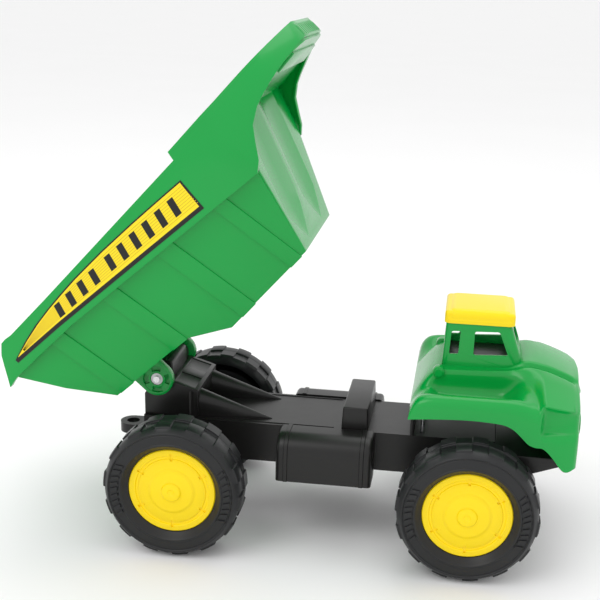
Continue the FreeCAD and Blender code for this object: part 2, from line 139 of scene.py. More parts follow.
def shut_facing_out():
    """Turns every face of the open piece outwards and leaves edit mode."""
    bpy.ops.mesh.select_all(action="SELECT")
    bpy.ops.mesh.normals_make_consistent(inside=False)
    shut()


# %% Starting shapes
def settle(piece):
    """Puts the piece's place into its mesh, so that the object sits at the origin."""
    take(piece)
    bpy.ops.object.transform_apply(location=True, rotation=True, scale=True)
    return piece


def block(name, low, high):
    """A box between two corners."""
    pick_none()
    low, high = Vector(low), Vector(high)
    bpy.ops.mesh.primitive_cube_add(size=1, location=(low + high) / 2)
    piece = bpy.context.object
    piece.name = name
    piece.scale = high - low
    return settle(piece)


def rod(name, start, end, radius, sides=32):
    """A closed cylinder from start to end."""
    pick_none()
    start, end = Vector(start), Vector(end)
    along = end - start
    bpy.ops.mesh.primitive_cylinder_add(vertices=sides, radius=radius, depth=along.length,
                                        location=(start + end) / 2, end_fill_type="NGON")
    piece = bpy.context.object
    piece.name = name
    piece.rotation_euler = along.to_track_quat("Z", "Y").to_euler()
    return settle(piece)


def drawn_line(name, points):
    """A line from point to point, made by extruding one corner. It stays in edit mode, all picked."""
    pick_none()
    bpy.ops.mesh.primitive_plane_add(size=0.001, location=points[0])
    piece = bpy.context.object
    piece.name = name
    settle(piece)
    bpy.ops.object.mode_set(mode="EDIT")
    bpy.ops.mesh.select_mode(type="VERT")
    bpy.ops.mesh.select_all(action="SELECT")
    bpy.ops.mesh.merge(type="CENTER")
    for here, there in zip(points, points[1:]):
        bpy.ops.mesh.extrude_region_move(TRANSFORM_OT_translate={"value": Vector(there) - Vector(here)})
    bpy.ops.mesh.select_all(action="SELECT")
    return piece


def slab(name, points, move):
    """A flat outline, filled and extruded by one move."""
    piece = drawn_line(name, points)
    bpy.ops.mesh.edge_face_add()
    bpy.ops.mesh.extrude_region_move(TRANSFORM_OT_translate={"value": Vector(move)})
    shut_facing_out()
    return piece


def row_by_row(name, rows, closed=False):
    """A skin made by extruding the first row of points and setting each new row in its place."""
    piece = drawn_line(name, rows[0])
    if closed:
        mesh = bmesh.from_edit_mesh(piece.data)
        ends = [v for v in mesh.verts if len(v.link_edges) == 1]
        mesh.edges.new(ends)
        bmesh.update_edit_mesh(piece.data)
        bpy.ops.mesh.select_all(action="SELECT")
    for old, new in zip(rows, rows[1:]):
        bpy.ops.mesh.extrude_region_move(TRANSFORM_OT_translate={"value": (0, 0, 0)})
        mesh = bmesh.from_edit_mesh(piece.data)
        for corner in [v for v in mesh.verts if v.select]:
            nearest = min(range(len(old)), key=lambda k: (Vector(old[k]) - corner.co).length_squared)
            corner.co = new[nearest]
        bmesh.update_edit_mesh(piece.data)
    bpy.ops.mesh.select_all(action="SELECT")
    shut()
    return piece


# %% Finishing moves
def modify(piece, kind, **settings):
    """Adds one modifier and applies it at once."""
    take(piece)
    modifier = piece.modifiers.new(kind.title(), kind)
    for name, value in settings.items():
        setattr(modifier, name, value)
    bpy.ops.object.modifier_apply(modifier=modifier.name)
    return piece


def face_out(piece):
    """Merges doubles and turns every face outwards. It comes before a wall gets its thickness."""
    open_up(piece, "VERT")
    bpy.ops.mesh.select_all(action="SELECT")
    bpy.ops.mesh.remove_doubles(threshold=SAME)
    shut_facing_out()
    return piece


def flip(piece):
    """Turns every face the other way."""
    open_up(piece)
    bpy.ops.mesh.select_all(action="SELECT")
    bpy.ops.mesh.flip_normals()
    shut()


def close_ends(piece, axis, places):
    """Fills the ring of edges that lies at each place along an axis, and turns all faces outwards."""
    open_up(piece, "EDGE")
    for place in places:
        bpy.ops.mesh.select_all(action="DESELECT")
        pick_edges(piece, lambda a, b: max(abs(a[axis] - place), abs(b[axis] - place)) < SAME)
        bpy.ops.mesh.edge_face_add()
    shut_facing_out()
    return piece


def step_face(piece, wanted, rim, move):
    """Insets the wanted faces by a rim and moves what lies inside it, in millimetres. Stays in edit mode."""
    open_up(piece)
    pick_faces(piece, wanted)
    bpy.ops.mesh.inset(thickness=rim * MM)
    bpy.ops.mesh.extrude_region_move(TRANSFORM_OT_translate={"value": Vector(move) * MM})


def soften(piece, width, segments=2, angle=30):
    """Rounds the hard edges as a mould does."""
    return modify(piece, "BEVEL", width=width * MM, segments=segments, limit_method="ANGLE",
                  angle_limit=math.radians(angle), harden_normals=False)


def smooth(piece, angle=35):
    """Shades as one surface wherever faces meet at less than the angle."""
    take(piece)
    bpy.ops.object.shade_smooth_by_angle(angle=math.radians(angle))
    return piece


def merged(name, pieces):
    """Joins several meshes into one object."""
    pick_none()
    for piece in pieces:
        piece.select_set(True)
    bpy.context.view_layer.objects.active = pieces[0]
    bpy.ops.object.join()
    pieces[0].name = name
    return pieces[0]


def carve(piece, cutters):
    """Cuts the cutters' shapes away and throws the cutters out."""
    for cutter in cutters:
        modify(piece, "BOOLEAN", object=cutter, operation="DIFFERENCE", solver="EXACT")
        bpy.data.objects.remove(cutter)
    return piece


def tip_up(piece):
    """Raises a piece that was drawn with the bed lying flat."""
    piece.rotation_euler = (0, -TIPPED, 0)
    piece.location = HINGE
    return settle(piece)


def shifted(piece, name, move):
    """A copy with its own mesh, moved by millimetres."""
    copy = piece.copy()
    copy.data = piece.data.copy()
    copy.name = name
    bpy.context.scene.collection.objects.link(copy)
    copy.location = Vector(move) * MM
    return settle(copy)


def other_side(piece, name):
    """A mirrored copy, on the truck's other side."""
    copy = shifted(piece, name, (0, 0, 0))
    copy.scale = (1, -1, 1)
    settle(copy)
    flip(copy)
    return copy


def fit_out(piece, finish, body, slot, *stands_for):
    """Gives the piece its finish, its body and the plain parts that it stands for. The slot is not used."""
    piece.data.materials.clear()
    piece.data.materials.append(finish)
    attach(piece, body)
    if stands_for:
        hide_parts(*stands_for)
    faces = sum(len(p.vertices) - 2 for p in piece.data.polygons)
    print(f"{piece.name}: {faces} triangles on {body}")
    return piece


# %% [markdown]
# ## Writing a finish like a sum
# A finish is a small network of nodes. Wiring it box by box is slow to read, so one class wraps a socket
# and lets ordinary sums make the Math nodes: `1 - mask * 0.4` is a formula and a network at once. Every
# other node comes from one method that takes its kind, its settings and what goes into its sockets.

# %% The socket wrapper
class Value:
    """One output socket of a finish. Sums on it add Math nodes."""

    def __init__(self, tree, socket):
        self.tree = tree
        self.socket = socket

    def sum(self, operation, first, second=None):
        node = self.tree.nodes.new("ShaderNodeMath")
        node.operation = operation
        for place, item in enumerate((first, second)):
            if isinstance(item, Value):
                self.tree.links.new(item.socket, node.inputs[place])
            elif item is not None:
                node.inputs[place].default_value = item
        return Value(self.tree, node.outputs[0])

    def __add__(self, other):
        return self.sum("ADD", self, other)

    __radd__ = __add__

    def __sub__(self, other):
        return self.sum("SUBTRACT", self, other)

    def __rsub__(self, other):
        return self.sum("SUBTRACT", other, self)

    def __mul__(self, other):
        return self.sum("MULTIPLY", self, other)

    __rmul__ = __mul__


class Finish:
    """A material whose nodes are added by kind."""

    def __init__(self, name, **shader):
        self.material = bpy.data.materials.new(name)
        self.material.use_nodes = True
        self.tree = self.material.node_tree
        self.shader = self.tree.nodes["Principled BSDF"]
        self.place = self.node("ShaderNodeTexCoord", out="Object")
        for socket, value in shader.items():
            self.feed(self.shader, socket.replace("_", " "), value)

    def feed(self, node, socket, item):
        target = node.inputs[socket]
        if isinstance(item, Value):
            self.tree.links.new(item.socket, target)
        else:
            target.default_value = item

    def node(self, kind, settings=None, out=0, **sockets):
        """Any node: its settings first, then its sockets, by name or as _0, _1 by place."""
        made = self.tree.nodes.new(kind)
        for name, value in (settings or {}).items():
            setattr(made, name, value)
        for name, item in sockets.items():
            key = int(name[1:]) if name[0] == "_" else name.replace("_", " ")
            self.feed(made, key, item)
        return Value(self.tree, made.outputs[out])

    def speckle(self, scale, detail=3.0, roughness=0.5):
        return self.node("ShaderNodeTexNoise", Vector=self.place, Scale=scale, Detail=detail,
                         Roughness=roughness)

    def blend(self, share, first, second):
        """Mixes two colours by a share from 0 to 1."""
        return self.node("ShaderNodeMix", {"data_type": "RGBA"}, out=2, _0=share, _6=first, _7=second)

    def relief(self, height, strength, distance):
        return self.node("ShaderNodeBump", Height=height, Strength=strength, Distance=distance)

    def give(self, **sockets):
        for socket, item in sockets.items():
            self.feed(self.shader, socket.replace("_", " "), item)
        return self.material


def tint(r, g, b):
    """An opaque colour."""
    return (r, g, b, 1.0)


# %% [markdown]
# ## Moulded plastic
# The truck is almost all injection-moulded plastic, dyed through. Three things make it look so. The dye
# varies a little where the melt ran slower. The polished mould leaves a very fine orange-peel on the
# gloss. And handling leaves faint scuffs, which show only as duller patches. One recipe serves green,
# yellow and black, with its own dye, gloss and grain for each.

# %% The plastic recipe
def moulded(name, dye, pale, gloss, peel, scuff, coat=0.0):
    """Dyed plastic: a main and a paler dye, roughness, orange-peel depth in mm and scuff strength."""
    finish = Finish(name, IOR=1.5, Coat_Roughness=0.06, Specular_IOR_Level=0.36)
    flow = finish.speckle(9.0, 4.0, 0.55)
    patch = finish.speckle(38.0, 5.0, 0.6)
    fine = finish.speckle(900.0, 2.0, 0.5)
    colour = finish.blend(flow * 0.7, dye, pale)
    rough = gloss + (patch - 0.5) * scuff + (fine - 0.5) * scuff * 0.4
    skin = finish.relief(fine + flow * 0.6, 0.35, peel * MM)
    gleam = coat + (patch - 0.5) * 0.1
    return finish.give(Base_Color=colour, Roughness=rough, Coat_Weight=gleam, Normal=skin)


green = moulded("green_gloss", tint(0.0, 0.315, 0.045), tint(0.0, 0.36, 0.058), 0.24, 0.02, 0.10, 0.12)
yellow = moulded("yellow_gloss", tint(0.98, 0.70, 0.0), tint(1.0, 0.75, 0.0), 0.30, 0.012, 0.06, 0.05)
black = moulded("black_satin", tint(0.0075, 0.0072, 0.007), tint(0.013, 0.0125, 0.012), 0.34, 0.03, 0.14)
tyre_black = moulded("tyre_satin", tint(0.010, 0.0105, 0.0115), tint(0.017, 0.0175, 0.019), 0.40, 0.04, 0.16)

# %% [markdown]
# ## Steel
# The axles and the hinge pin are drawn rod, so their streaks run along the length, across the truck.
# The push nuts and screws are zinc plated, duller and a little cloudy.

# %% The steel recipe
def steel(name, colour, rough, along):
    """Metal with fine streaks stretched along one direction."""
    finish = Finish(name, Metallic=1.0)
    streaks = finish.node("ShaderNodeMapping", Vector=finish.place, Scale=along)
    line = finish.node("ShaderNodeTexNoise", Vector=streaks, Scale=600.0, Detail=3.0)
    cloud = finish.speckle(120.0, 4.0)
    shade = finish.blend(cloud, tint(*colour), tint(*[c * 0.8 for c in colour]))
    grain = finish.relief(line, 0.2, 0.01 * MM)
    return finish.give(Base_Color=shade, Roughness=rough + line * 0.18, Normal=grain)


bright_rod = steel("drawn_rod", (0.74, 0.74, 0.75), 0.16, (1.0, 0.05, 1.0))
zinc = steel("zinc_plate", (0.60, 0.61, 0.62), 0.30, (1.0, 1.0, 1.0))
print("finishes", [m.name for m in (green, yellow, black, tyre_black, bright_rod, zinc)])

# %% [markdown]
# ## Floor, light and camera
# The truck stands on a plain pale floor under soft studio light: a bright even surround, one broad soft
# box over the front left, and a weaker one behind. The camera looks slightly down from the truck's right
# side. Its frame is shifted rather than turned, as a view camera does, so upright lines stay honest.

# %% The floor
pick_none()
bpy.ops.mesh.primitive_grid_add(x_subdivisions=8, y_subdivisions=8, size=80, location=(0, 20, -0.0002))
floor = bpy.context.object
floor.name = "studio_floor"
paper = Finish("floor_paper", Roughness=0.9, Specular_IOR_Level=0.15)
shade_of_paper = paper.blend(paper.speckle(3.0), tint(0.90, 0.90, 0.90), tint(0.92, 0.92, 0.92))
floor.data.materials.append(paper.give(Base_Color=shade_of_paper))

# %% The light
world = bpy.data.worlds.new("studio_surround")
bpy.context.scene.world = world
world.use_nodes = True
surround = world.node_tree.nodes["Background"].inputs
surround["Color"].default_value = (1.0, 1.0, 1.0, 1.0)
surround["Strength"].default_value = 1.0


def softbox(name, place, aim, width, height, power):
    """A rectangular lamp that faces a point."""
    lamp = bpy.data.lights.new(name, "AREA")
    lamp.shape = "RECTANGLE"
    lamp.size = width
    lamp.size_y = height
    lamp.energy = power
    holder = bpy.data.objects.new(name, lamp)
    bpy.context.scene.collection.objects.link(holder)
    holder.location = place
    holder.rotation_euler = (Vector(aim) - Vector(place)).to_track_quat("-Z", "Y").to_euler()
    return holder


softbox("key_box", (-0.9, -1.3, 1.9), (0.0, 0.0, 0.12), 1.2, 1.0, 9)
softbox("top_box", (0.35, 0.5, 2.0), (0.05, 0.0, 0.1), 1.6, 1.2, 8)

# %% The camera
EYE = Vector((0.11622, -0.84918, 0.41967))
azimuth, elevation, roll = (math.radians(v) for v in (6.63, 19.7, 1.97))
back = Vector((math.sin(azimuth) * math.cos(elevation), -math.cos(azimuth) * math.cos(elevation),
               math.sin(elevation)))
side = Vector((math.cos(azimuth), math.sin(azimuth), 0))
upward = back.cross(side)
rolled_side = math.cos(roll) * side + math.sin(roll) * upward
rolled_up = -math.sin(roll) * side + math.cos(roll) * upward
lens = bpy.data.cameras.new("studio_camera")
lens.lens = 68.83
lens.sensor_width = 36.0
lens.shift_x = -0.0483
lens.shift_y = 0.135
lens.clip_start = 0.01
lens.clip_end = 200
camera = bpy.data.objects.new("studio_camera", lens)
bpy.context.scene.collection.objects.link(camera)
turn = Matrix((rolled_side, rolled_up, back)).transposed().to_4x4()
camera.matrix_world = Matrix.Translation(EYE) @ turn
bpy.context.scene.camera = camera
bpy.context.scene.view_settings.view_transform = "Standard"
print("camera at", [round(v, 3) for v in camera.location])

# %% [markdown]
# ## The bed's rim and visor
# One deep band of plastic runs round the bed: along each side, then curving in to form the visor over
# the cab, and straight across its lip. It could be a stack of boxes, but the real one is a single skin
# whose height and direction change all the time. So it is built like a hoop of a barrel: one closed
# cross-section is extruded from station to station, and every new row is set in its place.

# %% Stations along the rim
def between(table, f):
    """Straight-line reading of a table of (position, value)."""
    if f <= table[0][0]:
        return table[0][1]
    for (f0, v0), (f1, v1) in zip(table, table[1:]):
        if f <= f1:
            return v0 + (v1 - v0) * (f - f0) / (f1 - f0)
    return table[-1][1]


LEDGE = [(-55.6, 74.3), (-48.3, 75.7), (7.1, 72.8), (150.0, 53.7), (187.8, 48.3), (194.8, 53.9),
         (201.0, 62.8), (208.0, 72.1), (218.0, 78.4), (226.0, 81.2), (234.0, 83.3), (241.0, 85.0),
         (248.0, 86.5), (255.0, 87.8), (261.0, 88.7), (265.6, 89.2)]
RIM = [(-55.6, 75.0), (-51.5, 80.4), (-46.5, 87.4), (-41.3, 94.3), (-37.8, 97.2), (-34.2, 99.9),
       (-30.0, 100.0), (-24.0, 98.9), (14.7, 97.7), (154.2, 94.9), (155.6, 101.3), (202.3, 101.1),
       (232.5, 102.0), (265.6, 103.0)]
SIDE_Y = 98.4
LIP_F = 265.9
VISOR_PLAN = [(188.0, SIDE_Y), (194.8, 97.0), (201.0, 95.4), (208.0, 93.2), (218.0, 89.4), (226.0, 85.6),
              (234.0, 80.6), (241.0, 74.4), (248.0, 66.6), (255.0, 57.4), (261.0, 48.6), (LIP_F, 40.3)]
straight = [f for f, u in RIM[:9]] + [60.0, 107.0, 154.2, 155.6, 172.0]
half_way_round = [(f, SIDE_Y) for f in straight] + VISOR_PLAN + [(LIP_F, 20.0)]
hoop = half_way_round + [(LIP_F, 0.0)] + [(f, -y) for f, y in reversed(half_way_round)]
RIM_WALL = 2.7
LEDGE_HIGH = 2.4


def rim_row(k):
    """The closed cross-section of the rim at one station: outer face, top, inner face and ledge."""
    f, y = hoop[k]
    f0, y0 = hoop[max(k - 1, 0)]
    f1, y1 = hoop[min(k + 1, len(hoop) - 1)]
    inward = Vector((y1 - y0, -(f1 - f0))).normalized()
    low, high = between(LEDGE, f), between(RIM, f)
    ledge = 5.6 if f < 186 else 3.6
    mid = min(LEDGE_HIGH, (high - low) * 0.4)
    profile = [(0.0, low), (0.0, high), (RIM_WALL, high), (RIM_WALL, low + mid), (ledge, low + mid),
               (ledge, low)]
    return [flat_bed(f + inward.x * depth, y + inward.y * depth, u) for depth, u in profile]


bed_rim = row_by_row("bed_rim", [rim_row(k) for k in range(len(hoop))], closed=True)
open_up(bed_rim, "EDGE")
bpy.ops.mesh.select_non_manifold()
bpy.ops.mesh.edge_face_add()
shut()
face_out(bed_rim)
print("stations round the rim", len(hoop))

# %% Round the rim's edges
soften(bed_rim, 0.7, 2, 40)
print("faces of the rim", len(bed_rim.data.polygons))

# %% [markdown]
# ## The tub
# Under the rim hangs the tub: a floor with a shallow bend and a drop towards the front, a ramp at the
# tail, and two side walls that lean out. Its rows run across the bed, one for every bend and for both
# edges of every rib, because then a rib is simply a strip of faces pushed outwards.

# %% Rows of the tub
FLOOR = [(-48.3, 75.2), (-31.0, 44.8), (-13.7, 13.9), (-9.6, 13.4), (3.3, 11.9), (42.8, 7.4), (56.8, 5.8),
         (83.5, -12.3), (95.4, -12.3), (109.8, -12.3), (147.5, -12.3), (159.0, -12.3), (163.4, -12.3)]
RIBS = [(-9.6, 3.3), (42.8, 56.8), (95.4, 109.8), (147.5, 159.0)]
FLOOR_HALF = 65.5


def lean(u):
    """Half width of the tub at a height."""
    return FLOOR_HALF + 27.3 * min(1.0, (u + 12.6) / 66.0)


def tub_row(f, u):
    """Seven points across the tub: down one wall, the middle of the floor, and up the other wall."""
    top_f = 187.4 if f > 162 else f
    top_u = between(LEDGE, top_f) + 1.2
    wide, low = 92.9, lean(u)
    if u > top_u - 3:
        top_u, wide = u + 1.5, low + 0.5
    mid_f, mid_u, mid_y = (f + top_f) / 2, (u + top_u) / 2, (low + wide) / 2
    near = [flat_bed(top_f, wide, top_u), flat_bed(mid_f, mid_y, mid_u), flat_bed(f, low, u)]
    far = [flat_bed(top_f, -wide, top_u), flat_bed(mid_f, -mid_y, mid_u), flat_bed(f, -low, u)]
    return near + [flat_bed(f, 0.0, u)] + list(reversed(far))


bed_tub = row_by_row("bed_tub", [tub_row(f, u) for f, u in FLOOR])
open_up(bed_tub)
shut_facing_out()
open_up(bed_tub)
faces_in_ribs = pick_faces(bed_tub, lambda c, n: abs(c.y) > 0.066 and any(
    f0 * MM < c.x < f1 * MM for f0, f1 in RIBS))
bpy.ops.mesh.extrude_region_shrink_fatten(TRANSFORM_OT_shrink_fatten={"value": 1.6 * MM})
shut()
print("rib faces", faces_in_ribs)

# %% Thickness of the tub
if sum(p.normal.z for p in bed_tub.data.polygons if abs(p.center.y) < 0.06) > 0:
    flip(bed_tub)
modify(bed_tub, "SOLIDIFY", thickness=2.4 * MM, offset=-1.0, use_even_offset=True)
soften(bed_tub, 0.8, 2, 28)

# %% [markdown]
# ## The front wall and its troughs
# The wall over the cab leans forward. Two long troughs are pressed into it, each with a steep side and a
# flatter one, running down to a point above the bottom edge; the proud strips between them stiffen the
# wall. Rows are laid from the bottom edge up, and the trough points of each row are sunk into the wall.

# %% Rows of the front wall
WALL_LOW, WALL_TOP = Vector((163.4, -12.3)), Vector((204.6, 88.8))
rise = (WALL_TOP - WALL_LOW).normalized()
into = Vector((-rise.y, rise.x))
TROUGHS = [(-73.0, -67.0, -31.0, -14.0), (2.0, 8.0, 42.0, 57.0)]
TIPS = (-37.5, 31.0)
DEPTHS = (0.0, 4.2, 3.2, 0.0)


def wall_row(share, opening, widen=0.0):
    """Points across the wall; opening runs from 0 at the troughs' tips to 1 where they are full."""
    on_wall = WALL_LOW + (WALL_TOP - WALL_LOW) * share
    half = FLOOR_HALF + 27.0 * min(1.0, share / 0.62) + widen
    across = [(-half, 0.0), (-half + 3.0, 0.0)]
    for places, tip in zip(TROUGHS, TIPS):
        for k, (y, depth) in enumerate(zip(places, DEPTHS)):
            squeezed = tip + (k - 1.5) * 0.5
            across.append((squeezed + (y - squeezed) * opening, depth * opening))
    across += [(half - 3.0, 0.0), (half, 0.0)]
    row = []
    for y, depth in across:
        point = on_wall + into * depth
        row.append(flat_bed(point.x, y, point.y))
    return row


wall_rows = [wall_row(0.0, 0.0), wall_row(0.05, 0.0), wall_row(0.14, 0.45), wall_row(0.26, 0.95),
             wall_row(0.36, 1.0), wall_row(0.62, 1.0), wall_row(0.80, 1.0, 2.0), wall_row(1.0, 1.0, 1.2)]
bed_front = row_by_row("bed_front_wall", wall_rows)
open_up(bed_front)
shut_facing_out()
if sum(p.normal.x for p in bed_front.data.polygons) <= 0:
    flip(bed_front)
modify(bed_front, "SOLIDIFY", thickness=2.3 * MM, offset=-1.0, use_even_offset=True)
soften(bed_front, 0.5, 2, 12)

# %% [markdown]
# ## Under the visor
# A flat roof closes the visor's underside, with a stepped ledge where it meets the lip.

# %% The visor's roof
def visor_outline(shrink):
    """The visor seen from above, drawn in by shrink, from the front wall to just behind the lip."""
    start, front = 203.0, 265.0
    half = [(start, between(VISOR_PLAN, start) - shrink)]
    half += [(f, y - shrink) for f, y in VISOR_PLAN if start + 1 < f < front]
    half.append((front - 1.0, 40.0 - shrink * 0.5))
    return half + [(f, -y) for f, y in reversed(half)]


visor_lift = (0, 0, 2.6 * MM)
visor_roof = slab("visor_roof", [flat_bed(f, y, 87.2) for f, y in visor_outline(1.4)], visor_lift)
step_corners = [(238.0, -58.0, 84.6), (254.0, -52.0, 85.8), (254.0, 52.0, 85.8), (238.0, 58.0, 84.6)]
visor_step = slab("visor_step", [flat_bed(*corner) for corner in step_corners], visor_lift)
soften(visor_step, 0.6)

# %% [markdown]
# ## The ribbed lip
# The lip of the visor is where a small hand takes hold to tip the bed, so the mould gives it fine ridges.
# One ridge is shaped once, as a thin bar that follows the lip's rounded corner, and copied along the lip.

# %% Ridges of the lip
lip_profile = [(248.0, 102.6), (258.0, 103.1), (263.0, 102.9), (265.6, 101.2), (266.35, 98.0),
               (266.35, 90.4), (265.4, 90.0), (265.2, 97.5), (264.6, 99.9), (262.6, 101.4), (258.0, 101.9),
               (248.0, 101.6)]
lip_cap = slab("lip_cap", [flat_bed(f, -39.8, u) for f, u in lip_profile], (0, 79.6 * MM, 0))
soften(lip_cap, 0.35, 2, 25)
ridge_profile = [(250.0, 103.3), (258.0, 103.6), (263.3, 103.3), (266.1, 101.4), (266.95, 98.0),
                 (266.9, 90.8), (266.0, 90.8), (265.9, 98.0), (265.2, 100.8), (262.8, 102.4), (258.0, 102.9),
                 (250.0, 102.6)]
ridge = slab("ridge", [flat_bed(f, -1.5, u - 0.35) for f, u in ridge_profile], (0, 3.0 * MM, 0))
soften(ridge, 0.45, 2, 50)
RIDGE_GAP = 8.8
ridges = [shifted(ridge, "ridge", (-0.2, RIDGE_GAP * k, 0)) for k in range(-4, 5)]
bpy.data.objects.remove(ridge)
bed_lip = merged("bed_lip", [lip_cap] + ridges)

# %% [markdown]
# ## The hinge ears
# Two ears hang under the floor and run on the steel pin. Each is a rounded bracket with a sunken face, a
# ring round the pin and four spokes. The outline is drawn and extruded. Four cutters make the pockets, so
# the spokes are simply what is left standing.

# %% One ear, and its twin
pin_low, pin_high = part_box("hinge_pin")
PIN_R = (pin_high.z - pin_low.z) / 2
EAR_IN, EAR_OUT, EAR_R = 33.0, 39.2, 12.8
SUNK_R = 10.6


def round_about(radius, first, last, count):
    """Points on an arc round the pin, in degrees from straight ahead."""
    turns = [math.radians(first + (last - first) * k / count) for k in range(count + 1)]
    return [(radius * math.cos(turn), radius * math.sin(turn)) for turn in turns]


def hinge_ear(name):
    """The ear on the right: outline, four pockets, a sunken face, a dish round the pin, and the bore."""
    outline = [(EAR_R, 11.6)] + round_about(EAR_R, 0, -180, 20) + [(-EAR_R, 14.4)]
    ear = slab(name, [flat_bed(f, -EAR_OUT, u) for f, u in outline], (0, (EAR_OUT - EAR_IN) * MM, 0))
    cutters = []
    for turn in (0, 90, 180, 270):
        inner = round_about(6.6, turn + 17, turn + 73, 5)
        outer = round_about(SUNK_R, turn + 69, turn + 21, 6)
        cutters.append(slab("pocket", [flat_bed(f, -EAR_OUT - 1, u) for f, u in inner + outer],
                            (0, 4.2 * MM, 0)))
    outside = flat_bed(0, -EAR_OUT - 1, 0)
    cutters.append(rod("shallow", outside, flat_bed(0, -EAR_OUT + 0.7, 0), SUNK_R * MM, 48))
    cutters.append(rod("dish", outside, flat_bed(0, -EAR_OUT + 2.6, 0), 4.9 * MM, 32))
    cutters.append(rod("bore", flat_bed(0, -EAR_OUT - 2, 0), flat_bed(0, -EAR_IN + 2, 0), PIN_R * 1.02, 32))
    carve(ear, cutters)
    return soften(ear, 0.3, 2, 35)


near_ear = hinge_ear("ear_right")
far_ear = other_side(near_ear, "ear_left")
print("ears round a pin of radius", round(PIN_R * 1000, 2), "mm")

# %% Raise the bed
bed_pieces = [bed_rim, bed_tub, bed_front, visor_roof, visor_step, bed_lip, near_ear, far_ear]
for piece in bed_pieces:
    smooth(tip_up(piece), 32)
    fit_out(piece, green, "dump_bed_body", "green_plastic")
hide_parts("dump_bed")

# %% [markdown]
# ## The cab body
# The cab is one blown-looking shell: rounded mudguards, a pocket between each mudguard and the cabin, a
# bonnet, and a blunt front. Boxes cannot give that flow. The half shell is laid in rows from the rear lip
# to the front, with thirteen points in each row from the centre line down to the lip. Each point keeps its
# job along the truck (bonnet edge, belt ridge, mudguard crest and so on), so the ridges run on smoothly.
# A mirror makes the other half, and a subdivision surface rounds the whole.

